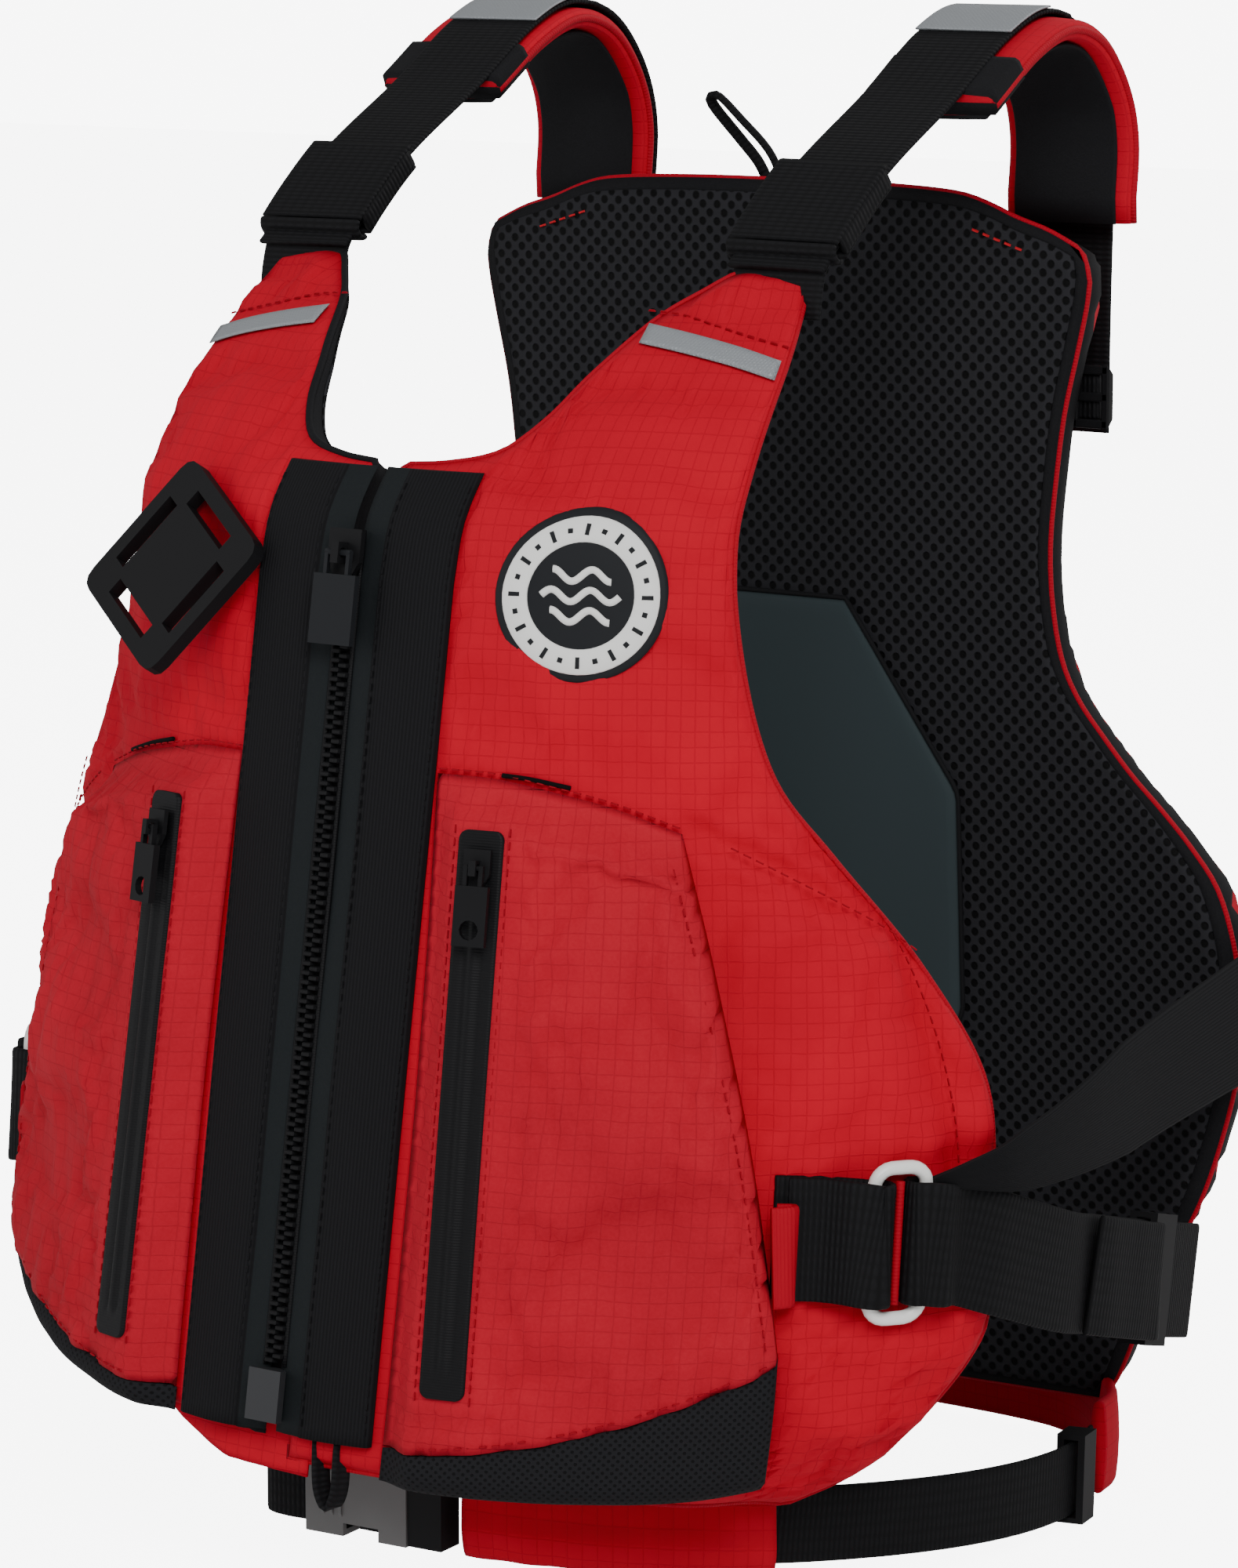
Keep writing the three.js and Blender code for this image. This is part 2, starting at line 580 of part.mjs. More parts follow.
// ---- Back panel ---------------------------------------------------------------------------
// Half outline of the back panel, from the middle of its top edge round to its bottom edge.
const BACK_TOP = 452;
const BACK_BOTTOM = 26;
const BACK_OUTLINE = [[72, 452], [99, 443], [126, 432], [128, 417], [119, 376], [114, 330], [119, 290],
  [136, 264], [160, 240], [183, 214], [193, 172], [186, 125], [160, 68], [147, 36], [140, 26]];

const BACK_FOAM_FACE = BACK_FACE + LINING + GAP;
const BACK_OUTER = BACK_FOAM_FACE + BACK_FOAM + GAP + SHELL;
// How the edge of the back panel slopes in: share of the thickness, share of BACK_TAPER.
const TAPER_TABLE = [[0, 0], [0.4, 0.22], [1, 1]];
const TAPER_KNEE = BACK_FACE + TAPER_TABLE[1][0] * (BACK_OUTER - BACK_FACE);

// The outline at a depth, pulled in by `inset` and by the slope of the edge.
function backOutline(y, inset) {
  const slope = BACK_TAPER * readTable(TAPER_TABLE, (y - BACK_FACE) / (BACK_OUTER - BACK_FACE));
  const middle = (BACK_TOP + BACK_BOTTOM) / 2;
  const half = BACK_OUTLINE.map(([x, z], i) => {
    const before = BACK_OUTLINE[Math.max(i - 1, 0)];
    const after = BACK_OUTLINE[Math.min(i + 1, BACK_OUTLINE.length - 1)];
    const along = new THREE.Vector2(after[0] - before[0], after[1] - before[1]).normalize();
    const drop = slope * (z - middle) / (BACK_TOP - middle);
    return new THREE.Vector2(x + along.y * inset - slope, z - along.x * inset - drop);
  });
  return [...half, ...half.map((p) => new THREE.Vector2(-p.x, p.y)).reverse()];
}

function backLayer(yFrom, yTo, inset) {
  const depths = yFrom < TAPER_KNEE && yTo > TAPER_KNEE ? [yFrom, TAPER_KNEE, yTo] : [yFrom, yTo];
  if (yFrom < BACK_FACE) depths.splice(1, 0, BACK_FACE);
  return loftedPlate(depths.map((y) => backOutline(y, inset)), depths);
}

function addBackPanel() {
  const whole = backLayer(BACK_FACE, BACK_OUTER, 0);
  const hollow = backLayer(BACK_FACE - 5, BACK_OUTER - SHELL, SHELL);
  add('back_shell', cut(whole, hollow), RED_CLOTH);
  const fit = SHELL + GAP;
  add('back_foam', backLayer(BACK_FOAM_FACE, BACK_FOAM_FACE + BACK_FOAM, fit), FOAM);
  add('back_lining', backLayer(BACK_FACE, BACK_FACE + LINING, fit), MESH_CLOTH);
  const patch = new THREE.Shape();
  const half = [[32, 305], [80, 239], [83, 160], [60, 105]];
  patch.setFromPoints([...half, ...half.map(([x, z]) => [-x, z]).reverse()]
    .map(([x, z]) => new THREE.Vector2(x, z)));
  add('back_patch', plate(patch, BACK_FACE - 1.8, BACK_FACE - GAP), SLATE_CLOTH);
  const loopPath = smoothPath([
    new THREE.Vector3(-9, BACK_FACE + 12, BACK_TOP + 1),
    new THREE.Vector3(-20, BACK_FACE + 10, BACK_TOP + 13),
    new THREE.Vector3(-30, BACK_FACE + 8, BACK_TOP + 24),
    new THREE.Vector3(-28, BACK_FACE + 4, BACK_TOP + 29),
    new THREE.Vector3(-16, BACK_FACE + 6, BACK_TOP + 20),
    new THREE.Vector3(-3, BACK_FACE + 12, BACK_TOP + 1),
  ], 12);
  add('hang_loop', ribbon(loopPath, 4, 1.4, new THREE.Vector3(0, 1, 0)), WEBBING_CLOTH);
}

// ---- Shoulders ----------------------------------------------------------------------------
// Middle line of a shoulder strap, seen from the side, from its front anchor to its end.
const STRAP_END_Z = 366;
const STRAP_ROUTE = [
  [-(TOP_DEPTH - 9), PANEL_TOP + 2], [-16, PANEL_TOP + 30], [30, SHOULDER_TOP - 27],
  [62, SHOULDER_TOP - 8], [88, SHOULDER_TOP], [112, SHOULDER_TOP - 6], [130, SHOULDER_TOP - 24],
  [BACK_OUTER + 6, SHOULDER_TOP - 46], [BACK_OUTER + 4, BACK_TOP - 12],
  [BACK_OUTER + 3, STRAP_END_Z + 30], [BACK_OUTER + 3, STRAP_END_Z],
];

function strapPoint([y, z], x) {
  return new THREE.Vector3(x, y, z);
}

function offsetRoute(route, depth) {
  return route.map((point, i) => {
    const before = route[Math.max(i - 1, 0)];
    const after = route[Math.min(i + 1, route.length - 1)];
    const along = new THREE.Vector3().subVectors(after, before).normalize();
    return point.clone().add(new THREE.Vector3(0, along.z, -along.y).multiplyScalar(depth));
  });
}

function addShoulder(name, side) {
  const middle = smoothPath(STRAP_ROUTE.map((p) => strapPoint(p, side * STRAP_X)), 30);
  const acrossX = new THREE.Vector3(1, 0, 0);
  add(`shoulder_strap_${name}`, ribbon(middle, STRAP_WIDTH, WEBBING, acrossX), WEBBING_CLOTH);
  const over = middle.filter((p, i) => p.z > BACK_TOP + 4 && i > 8)
    .map((p) => p.clone().setX(side * PAD_X));
  const padDepth = WEBBING / 2 + GAP + PAD_THICKNESS / 2;
  const pad = ribbon(offsetRoute(over, padDepth), PAD_WIDTH, PAD_THICKNESS, acrossX);
  add(`shoulder_pad_${name}`, pad, RED_CLOTH);
  const liningDepth = padDepth + PAD_THICKNESS / 2 + GAP + 0.8;
  const lining = ribbon(offsetRoute(over, liningDepth), PAD_WIDTH - 12, 1.6, acrossX);
  add(`shoulder_lining_${name}`, lining, BLACK_CLOTH);
  const low = strapPoint([-32, PANEL_TOP + 15.5], side * STRAP_X);
  const high = middle[7];
  const frame = new THREE.Group();
  frame.position.lerpVectors(middle[2], middle[3], 0.5);
  frame.rotation.x = -Math.atan2(high.y - low.y, high.z - low.z);
  jacket.add(frame);
  const inner = box(STRAP_WIDTH + 2 * SLIDE_CLEARANCE, 5.5, 60);
  const sleeve = cut(box(STRAP_WIDTH + 5, 9.5, 30), inner);
  add(`strap_sleeve_${name}`, sleeve, WEBBING_CLOTH, frame);
}

// ---- Side belts ---------------------------------------------------------------------------
function addSideBelt(name, side) {
  const onShell = (degrees, z, lift) => frontPoint(side, degrees, z, lift);
  const spread = CHEST_HALF_WIDTH / 210;
  const inward = (x, y, z) => new THREE.Vector3(side * x * spread, y, z);
  // The webbing turns round an upright of the ring and lies back on itself.
  const turnRadius = RING_ROD * Math.SQRT1_2 + 3 * GAP + WEBBING / 2;
  const degreesPerMm = 2 / onShell(RING_ANGLE + 1, RING_Z, RING_LIFT)
    .distanceTo(onShell(RING_ANGLE - 1, RING_Z, RING_LIFT));
  const upright = (RING_WIDTH - RING_ROD) / 2 * degreesPerMm;
  const turn = (way) => [-90, -45, 0, 45, 90].map((phase) => {
    const angle = THREE.MathUtils.degToRad(phase);
    const shift = way * Math.cos(angle) * turnRadius * degreesPerMm;
    return onShell(RING_ANGLE - way * upright + shift, RING_Z, RING_LIFT + Math.sin(angle) * turnRadius);
  });
  const low = RING_LIFT - turnRadius;
  const front = [onShell(46.8, 134, low), onShell(50.5, 133, low), ...turn(1), onShell(50.5, 133, 5.4)];
  const half = SIDE_BELT_WIDTH / 2;
  const rise = new THREE.Vector3().subVectors(onShell(RING_ANGLE, RING_Z + half, 0),
    onShell(RING_ANGLE, RING_Z - half, 0)).normalize();
  add(`side_belt_${name}`, ribbon(front, SIDE_BELT_WIDTH, WEBBING, rise), WEBBING_CLOTH);
  const rear = [onShell(64, 128, low), ...turn(-1), onShell(64, 128, 6.2), onShell(69, 122, 5),
    inward(203, -36, 110), inward(195, 12, 97), inward(187, 62, 84), inward(183, 86, 78)];
  add(`side_tail_${name}`, ribbon(rear, SIDE_BELT_WIDTH, WEBBING, rise), WEBBING_CLOTH);
  const wing = [onShell(62.5, 141, 11.5), onShell(66, 144, 10), onShell(69.5, 148, 9.5),
    inward(207, -30, 155), inward(202, 30, 165), inward(197.5, BACK_OUTER - 8, 176)];
  add(`side_wing_${name}`, ribbon(wing, SIDE_BELT_WIDTH + 8, WEBBING), BLACK_CLOTH);

  const ring = uprightFrame(side, RING_ANGLE, RING_Z - half, RING_Z + half, RING_LIFT);
  const loop = cut(box(RING_WIDTH, RING_ROD, RING_HEIGHT),
    box(RING_WIDTH - 2 * RING_ROD, 20, RING_HEIGHT - 2 * RING_ROD));
  add(`side_ring_${name}`, loop.translate(0, 0, ring.length / 2), WHITE_PLASTIC, ring.frame);

  const from = rear[rear.length - 3];
  const to = rear[rear.length - 2];
  const place = new THREE.Group();
  place.position.lerpVectors(from, to, 0.62);
  const along = new THREE.Vector3().subVectors(to, from).normalize();
  const up = new THREE.Vector3(0, 0, 1).addScaledVector(along, -along.z).normalize();
  const out = new THREE.Vector3().crossVectors(along, up);
  place.quaternion.setFromRotationMatrix(new THREE.Matrix4().makeBasis(along, out.negate(), up));
  jacket.add(place);
  add(`side_adjuster_${name}`, slideLoop(SIDE_BELT_WIDTH, 20), BLACK_PLASTIC, place);
}

// A loop that runs along a strap: local X is the way it slides.
function slideLoop(strapWidth, length) {
  const opening = box(length * 3, WEBBING + 5 * SLIDE_CLEARANCE, strapWidth + 2 * SLIDE_CLEARANCE);
  return cut(box(length, WEBBING + 8, strapWidth + 2 * LOOP_WALL), opening);
}

// ---- Waist belt ---------------------------------------------------------------------------
// The right half of the belt lies tucked up behind its front panel: how much, round the waist.
function tuckShare(side, degrees) {
  if (side > 0) return 0;
  const out = THREE.MathUtils.smoothstep(degrees, 8, RIGHT_SLEEVE_FROM - 4);
  return out * (1 - THREE.MathUtils.smoothstep(degrees, SLEEVE_TO, ADJUSTER_ANGLE - 8));
}

function waistPoint(side, degrees, z, lift = 0) {
  const angle = THREE.MathUtils.degToRad(degrees);
  const flare = WAIST_FLARE * THREE.MathUtils.smoothstep(degrees, 60, ADJUSTER_ANGLE);
  const radius = WAIST_RADIUS + flare - WAIST_TUCK * tuckShare(side, degrees) + lift;
  return new THREE.Vector3(side * radius * Math.sin(angle), -radius * Math.cos(angle), z);
}

function waistHeight(side, degrees) {
  const lowest = WAIST_BELT_WIDTH / 2 + LOOP_WALL;
  const turned = Math.max(degrees, SLEEVE_FROM);
  return THREE.MathUtils.mapLinear(turned, SLEEVE_FROM, ADJUSTER_ANGLE, BUCKLE_Z, lowest)
    + WAIST_TUCK_RISE * tuckShare(side, degrees);
}

const BUCKLE_ANGLE = 3.5;
const ADJUSTER_ANGLE = 104;
const SLEEVE_FROM = 17;
const SLEEVE_TO = 53;
const RIGHT_SLEEVE_FROM = 26;

function addWaistBelt(name, side) {
  const start = side > 0 ? 25 : 14.5;
  const end = 112;
  const steps = 14;
  const route = Array.from({ length: steps + 1 }, (_, i) => {
    const degrees = start + (end - start) * (i / steps);
    return waistPoint(side, degrees, waistHeight(side, degrees));
  });
  add(`waist_belt_${name}`, ribbon(route, WAIST_BELT_WIDTH, WEBBING), WEBBING_CLOTH);

  const mouth = side > 0 ? SLEEVE_FROM : RIGHT_SLEEVE_FROM;
  const stations = Array.from({ length: 7 }, (_, i) => mouth + (SLEEVE_TO - mouth) * (i / 6));
  const tube = (half, drop) => {
    const layer = (lift) => stations.map((degrees) => {
      const z = waistHeight(side, degrees);
      return [waistPoint(side, degrees, z - drop, lift), waistPoint(side, degrees, z + drop, lift)];
    });
    return solidBetween(layer(half), layer(-half));
  };
  const bore = join(tube(6.5, WAIST_BELT_WIDTH / 2 + 1), mouthBore(side, mouth),
    mouthBore(side, SLEEVE_TO));
  add(`waist_sleeve_${name}`, cut(tube(8.5, WAIST_BELT_WIDTH / 2 + 3), bore), RED_CLOTH);

  const rail = new THREE.Group();
  rail.position.copy(waistPoint(side, ADJUSTER_ANGLE, waistHeight(side, ADJUSTER_ANGLE)));
  rail.rotation.z = THREE.MathUtils.degToRad(side * ADJUSTER_ANGLE);
  const fall = waistHeight(side, ADJUSTER_ANGLE - 1) - waistHeight(side, ADJUSTER_ANGLE);
  rail.rotateY(side * Math.atan(fall / (WAIST_RADIUS * THREE.MathUtils.degToRad(1))));
  jacket.add(rail);
  add(`waist_adjuster_${name}`, slideLoop(WAIST_BELT_WIDTH, 14), BLACK_PLASTIC, rail);
}

// The red flap that carries the waist belt round from the outside of the back panel.
function addBeltWing(name, side) {
  const spot = (x, y, z) => new THREE.Vector3(side * x, y, z);
  const outside = BACK_OUTER + 3;
  const height = BELT_WING_WIDTH / 2 + 1;
  const route = smoothPath([spot(22, outside, height), spot(80, outside, height),
    spot(112, outside - 7, height), spot(134, outside - 26, height), spot(152, 86, height),
    spot(WAIST_RADIUS - 4, 68, height)], 12);
  add(`belt_wing_${name}`, ribbon(route, BELT_WING_WIDTH, 3), RED_CLOTH);
}

// Opens the end of a sleeve: a short block the size of its bore, across the ring at `degrees`.
function mouthBore(side, degrees) {
  const block = box(8, 13, WAIST_BELT_WIDTH + 2);
  block.rotateZ(THREE.MathUtils.degToRad(side * degrees));
  return block.translate(...waistPoint(side, degrees, waistHeight(side, degrees)).toArray());
}

function addBuckle() {
  const seat = new THREE.Group();
  seat.position.copy(waistPoint(1, BUCKLE_ANGLE, BUCKLE_Z));
  seat.rotation.z = THREE.MathUtils.degToRad(BUCKLE_ANGLE);
  jacket.add(seat);
  const wall = 2;
  const cavity = box(BUCKLE_LENGTH - 6, BUCKLE_THICKNESS - 2 * wall, BUCKLE_HEIGHT - 2 * wall, 6, 0, 0);
  const window = box(14, 30, BUCKLE_HEIGHT + 10, 2, 0, 0);
  const keepMiddle = box(16, 40, BUCKLE_HEIGHT - 9, 2, 0, 0);
  const female = cut(box(BUCKLE_LENGTH, BUCKLE_THICKNESS, BUCKLE_HEIGHT), cavity, cut(window, keepMiddle));
  add('buckle_female', female, GREY_PLASTIC, seat);
  const clear = SLIDE_CLEARANCE;
  const prongHeight = BUCKLE_THICKNESS - 2 * wall - 2 * clear;
  const reach = BUCKLE_LENGTH / 2 - 8;
  const collar = box(13, BUCKLE_THICKNESS - 1, BUCKLE_HEIGHT - 1, BUCKLE_LENGTH / 2 + 7, 0, 0);
  const guide = box(reach + 9, prongHeight - 2, 5, BUCKLE_LENGTH / 2 + 1 - (reach + 9) / 2, 0, 0);
  const prong = (up) => box(reach + 9, prongHeight, 4, BUCKLE_LENGTH / 2 + 1 - (reach + 9) / 2, 0,
    up * (BUCKLE_HEIGHT / 2 - wall - clear - 2));
  add('buckle_male', join(collar, guide, prong(1), prong(-1)), BLACK_PLASTIC, seat);
}

// ---- Assembly -----------------------------------------------------------------------------
addBackPanel();
addMainZip();
addEmblem();
addLashTab();
addBuckle();
for (const [name, side] of SIDES) {
  addFrontPanel(name, side);
  addPlacket(name, side);
  addPocket(name, side);
  addChestBand(name, side);
  addShoulder(name, side);
  addSideBelt(name, side);
  addWaistBelt(name, side);
  addBeltWing(name, side);
}

const bounds = new THREE.Box3().setFromObject(jacket, true);
jacket.position.y = -(bounds.min.y + bounds.max.y) / 2;
jacket.position.z = -bounds.min.z;

export default jacket;
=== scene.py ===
"""A paddling life jacket in red ripstop and black webbing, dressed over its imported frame."""

import math

import bpy
import numpy as np
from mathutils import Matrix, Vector, noise


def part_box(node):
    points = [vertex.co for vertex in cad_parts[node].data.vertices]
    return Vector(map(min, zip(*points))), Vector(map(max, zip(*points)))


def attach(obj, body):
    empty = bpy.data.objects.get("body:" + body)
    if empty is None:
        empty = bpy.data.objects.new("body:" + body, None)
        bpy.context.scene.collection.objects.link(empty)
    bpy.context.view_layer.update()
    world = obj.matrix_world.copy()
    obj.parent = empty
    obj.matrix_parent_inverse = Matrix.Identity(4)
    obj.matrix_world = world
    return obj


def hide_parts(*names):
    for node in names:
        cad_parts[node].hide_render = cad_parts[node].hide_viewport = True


bl_info = {
    "name": "Paddling Life Jacket",
    "version": (1, 0, 0),
    "blender": (4, 5, 0),
    "location": "3D View > Sidebar > Life Jacket",
    "description": "Builds the cloth, padding, webbing and trim of a paddling life jacket",
    "category": "Object",
}

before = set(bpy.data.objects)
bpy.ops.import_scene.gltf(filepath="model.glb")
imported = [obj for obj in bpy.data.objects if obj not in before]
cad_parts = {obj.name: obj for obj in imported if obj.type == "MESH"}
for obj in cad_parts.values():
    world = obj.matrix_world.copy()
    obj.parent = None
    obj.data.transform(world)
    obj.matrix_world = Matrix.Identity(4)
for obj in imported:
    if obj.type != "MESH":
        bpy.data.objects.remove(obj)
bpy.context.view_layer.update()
MM = 0.001
# Where the arm line of the sizes below lies in the frame, in millimetres.
SHIFT = np.array([0.0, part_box("back_shell")[1].y / MM - 131.8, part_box("front_left_shell")[0].z / MM - 48])

# Sizes of the front, in millimetres: the same curved body that the frame is built on.
CHEST_HALF_WIDTH = 210
CHEST_DEPTH = 208.4
PANEL_TOP = 433
STRAIGHT_TOP = 337
TOP_DEPTH = 60
ZIP_LEAN = 0.17
BACK_FACE = 97
BACK_OUTER = 131.8
WIDTH_TABLE = [(0, 0.95), (0.111, 0.986), (0.2, 1), (0.35, 1), (0.5, 0.975), (0.647, 0.92),
               (0.778, 0.886), (0.93, 0.852), (1, 0.786)]
CURL_TABLE = [(0, 0), (0.18, 0.055), (0.36, 0.19), (0.69, 0.55), (1, 1)]
THICKNESS_TABLE = [(0, 28), (320, 28), (372, 20), (433, 10)]
TUCK_TABLE = [(26, 30), (48, 16), (72, 3), (95, 0)]
SIDES = (("left", 1), ("right", -1))
SIDE_WEBBING, SHOULDER_WEBBING, WAIST_WEBBING = 40, 38, 26
WEBBING_THICK = 2.0
DEGREE = 3.3  # millimetres round the chest for each degree, on average


# ---- Curves and tables --------------------------------------------------------------------
def smooth_table(table, at):
    """Reads a table of (x, y) pairs through a smooth curve that never overshoots them."""
    xs, ys = (np.array(column, float) for column in zip(*table))
    at = np.clip(np.asarray(at, float), xs[0], xs[-1])
    secants = np.diff(ys) / np.diff(xs)
    slopes = np.zeros(len(xs))
    for i in range(1, len(xs) - 1):
        if secants[i - 1] * secants[i] > 0:
            slopes[i] = 2 / (1 / secants[i - 1] + 1 / secants[i])
    slopes[0], slopes[-1] = secants[0], secants[-1]
    i = np.clip(np.searchsorted(xs, at, side="right") - 1, 0, len(xs) - 2)
    step = xs[i + 1] - xs[i]
    t = (at - xs[i]) / step
    return (ys[i] * (1 + 2 * t) * (1 - t) ** 2 + slopes[i] * step * t * (1 - t) ** 2
            + ys[i + 1] * t ** 2 * (3 - 2 * t) + slopes[i + 1] * step * t ** 2 * (t - 1))


def smoothstep(low, high, value):
    t = np.clip((np.asarray(value, float) - low) / (high - low), 0, 1)
    return t * t * (3 - 2 * t)


def rounded(distance, radius):
    """A quarter circle: 0 at an edge, 1 from `radius` inside it."""
    t = np.clip(np.asarray(distance, float) / radius, 0, 1)
    return np.sqrt(1 - (1 - t) ** 2)


def resample(points, count, smooth=True, weight=None):
    """`count` + 1 evenly spaced points along a line through `points`."""
    points = np.array(points, float)
    if smooth and len(points) > 2:
        ends = np.vstack([2 * points[0] - points[1], points, 2 * points[-1] - points[-2]])
        line = []
        for i in range(1, len(ends) - 2):
            a, b, c, d = ends[i - 1:i + 3]
            for t in np.linspace(0, 1, 12, endpoint=False):
                line.append(0.5 * (2 * b + (c - a) * t + (2 * a - 5 * b + 4 * c - d) * t ** 2
                                   + (3 * b - a - 3 * c + d) * t ** 3))
        points = np.array(line + [points[-1]])
    scaled = points if weight is None else points * weight
    along = np.concatenate([[0], np.cumsum(np.linalg.norm(np.diff(scaled, axis=0), axis=1))])
    at = np.linspace(0, along[-1], count + 1)
    return np.stack([np.interp(at, along, points[:, k]) for k in range(points.shape[1])], axis=1)


# ---- The curved front ---------------------------------------------------------------------
def front_width(z):
    return CHEST_HALF_WIDTH * smooth_table(WIDTH_TABLE, np.asarray(z) / PANEL_TOP)


def front_depth(z):
    z = np.asarray(z, float)
    start = CHEST_DEPTH - ZIP_LEAN * STRAIGHT_TOP
    curl = smooth_table(CURL_TABLE, (z - STRAIGHT_TOP) / (PANEL_TOP - STRAIGHT_TOP))
    return np.where(z <= STRAIGHT_TOP, CHEST_DEPTH - ZIP_LEAN * z, start - curl * (start - TOP_DEPTH))


def front_points(side, degrees, z, lift=0.0):
    """Points of the front in millimetres, `lift` outside its cloth, `degrees` from the zip."""
    angle = np.radians(degrees)
    x = side * (front_width(z) + lift) * np.sin(angle)
    y = -(front_depth(z) + lift) * np.cos(angle)
    return np.stack(np.broadcast_arrays(x, y, np.asarray(z, float)), axis=-1)


def angle_at(x, z):
    return np.degrees(np.arcsin(x / front_width(z)))


def patch(bottom, right, top, left, columns, rows, smooth=(True, True, True, True)):
    """A grid of (degrees, height) points stretched between four border lines."""
    weight = np.array([DEGREE, 1.0])
    b = resample(bottom, columns, smooth[0], weight)
    r = resample(right, rows, smooth[1], weight)
    t = resample(top, columns, smooth[2], weight)
    left_line = resample(left, rows, smooth[3], weight)
    s = np.linspace(0, 1, columns + 1)[None, :, None]
    v = np.linspace(0, 1, rows + 1)[:, None, None]
    corners = ((1 - s) * (1 - v) * b[0] + s * (1 - v) * b[-1] + (1 - s) * v * t[0] + s * v * t[-1])
    return (1 - v) * b[None] + v * t[None] + (1 - s) * left_line[:, None] + s * r[:, None] - corners


def line_distance(grid, line, weight=(DEGREE, 1.0)):
    """Distance in millimetres from each point of a grid to a line of points."""
    p = np.asarray(grid, float) * np.array(weight)
    q = np.asarray(line, float) * np.array(weight)
    a, b = q[:-1], q[1:]
    best = np.full(p.shape[:-1], np.inf)
    for start, end in zip(a, b):
        along = end - start
        length = max(float(along @ along), 1e-9)
        t = np.clip(((p - start) @ along) / length, 0, 1)
        best = np.minimum(best, np.linalg.norm(p - start - t[..., None] * along, axis=-1))
    return best


def border(grid):
    """The closed border line of a grid."""
    return np.vstack([grid[0], grid[1:, -1], grid[-1, -2::-1], grid[-2::-1, 0]])


def ripple(grid, size, seed, octaves=2):
    """Smooth noise from -1 to 1 over a grid of flat points; `size` is the length of a fold."""
    flat = np.asarray(grid, float).reshape(-1, grid.shape[-1])
    values = [noise.fractal(Vector((p[0] * DEGREE / size[0], p[1] / size[1], seed)), 1.0, 2.0, octaves)
              for p in flat]
    return np.array(values).reshape(grid.shape[:-1])


# ---- Meshes -------------------------------------------------------------------------------
def new_mesh(name, points, faces, material, coords=None, smooth=True):
    """A mesh from points in millimetres; `coords` are its UV places in metres, point by point."""
    data = bpy.data.meshes.new(name)
    data.from_pydata([tuple(p) for p in (np.asarray(points, float) + SHIFT) * MM], [], faces)
    data.validate()
    data.update()
    if coords is not None:
        layer = data.uv_layers.new(name="cloth")
        flat = np.asarray(coords, float)
        index = np.zeros(len(data.loops), int)
        data.loops.foreach_get("vertex_index", index)
        layer.data.foreach_set("uv", flat[index].ravel())
    data.polygons.foreach_set("use_smooth", [smooth] * len(data.polygons))
    data.materials.append(MATERIALS[material])
    thing = bpy.data.objects.new(name, data)
    bpy.context.scene.collection.objects.link(thing)
    return thing


def outward(points, faces):
    """The faces, turned to look out of the closed body they make."""
    volume = 0.0
    for face in faces:
        for k in range(1, len(face) - 1):
            a, b, c = points[face[0]], points[face[k]], points[face[k + 1]]
            volume += float(np.dot(a, np.cross(b, c)))
    return faces if volume > 0 else [tuple(reversed(face)) for face in faces]


def quads(rows, columns, start=0):
    return [(start + r * columns + c, start + r * columns + c + 1,
             start + (r + 1) * columns + c + 1, start + (r + 1) * columns + c)
            for r in range(rows - 1) for c in range(columns - 1)]


def grid_coords(grid):
    return np.asarray(grid, float).reshape(-1, 2) * np.array([DEGREE * MM, MM])


def pillow(name, outer, inner, coords, material):
    """A closed body from two grids that share their border."""
    rows, columns = outer.shape[:2]
    points = list(outer.reshape(-1, 3))
    uv = list(np.asarray(coords))
    place = {}
    for r in range(rows):
        for c in range(columns):
            if r in (0, rows - 1) or c in (0, columns - 1):
                place[r, c] = r * columns + c
            else:
                place[r, c] = len(points)
                points.append(inner[r, c])
                uv.append(uv[r * columns + c])
    faces = quads(rows, columns)
    for r in range(rows - 1):
        for c in range(columns - 1):
            faces.append((place[r, c], place[r + 1, c], place[r + 1, c + 1], place[r, c + 1]))
    points = np.array(points)
    return new_mesh(name, points, outward(points, faces), material, uv)


def slab(name, outer, inner, coords, material):
    """A closed body from two grids, with a wall round their border."""
    rows, columns = outer.shape[:2]
    count = rows * columns
    points = np.vstack([outer.reshape(-1, 3), inner.reshape(-1, 3)])
    faces = quads(rows, columns) + [tuple(reversed(f)) for f in quads(rows, columns, count)]
    ring = ([(0, c) for c in range(columns)] + [(r, columns - 1) for r in range(1, rows)]
            + [(rows - 1, c) for c in range(columns - 2, -1,
                                            -1)] + [(r, 0) for r in range(rows - 2, 0, -1)])
    index = [r * columns + c for r, c in ring]
    for a, b in zip(index, index[1:] + index[:1]):
        faces.append((b, a, count + a, count + b))
    uv = np.vstack([coords, coords])
    return new_mesh(name, points, outward(points, faces), material, uv)


def frames_along(path, across):
    """Unit width and face directions at each point of a path."""
    path = np.asarray(path, float)
    along = np.gradient(path, axis=0)
    along /= np.linalg.norm(along, axis=1)[:, None]
    wide = np.broadcast_to(np.asarray(across, float), path.shape).copy()
    wide -= (wide * along).sum(1)[:, None] * along
    wide /= np.linalg.norm(wide, axis=1)[:, None]
    return wide, np.cross(along, wide)


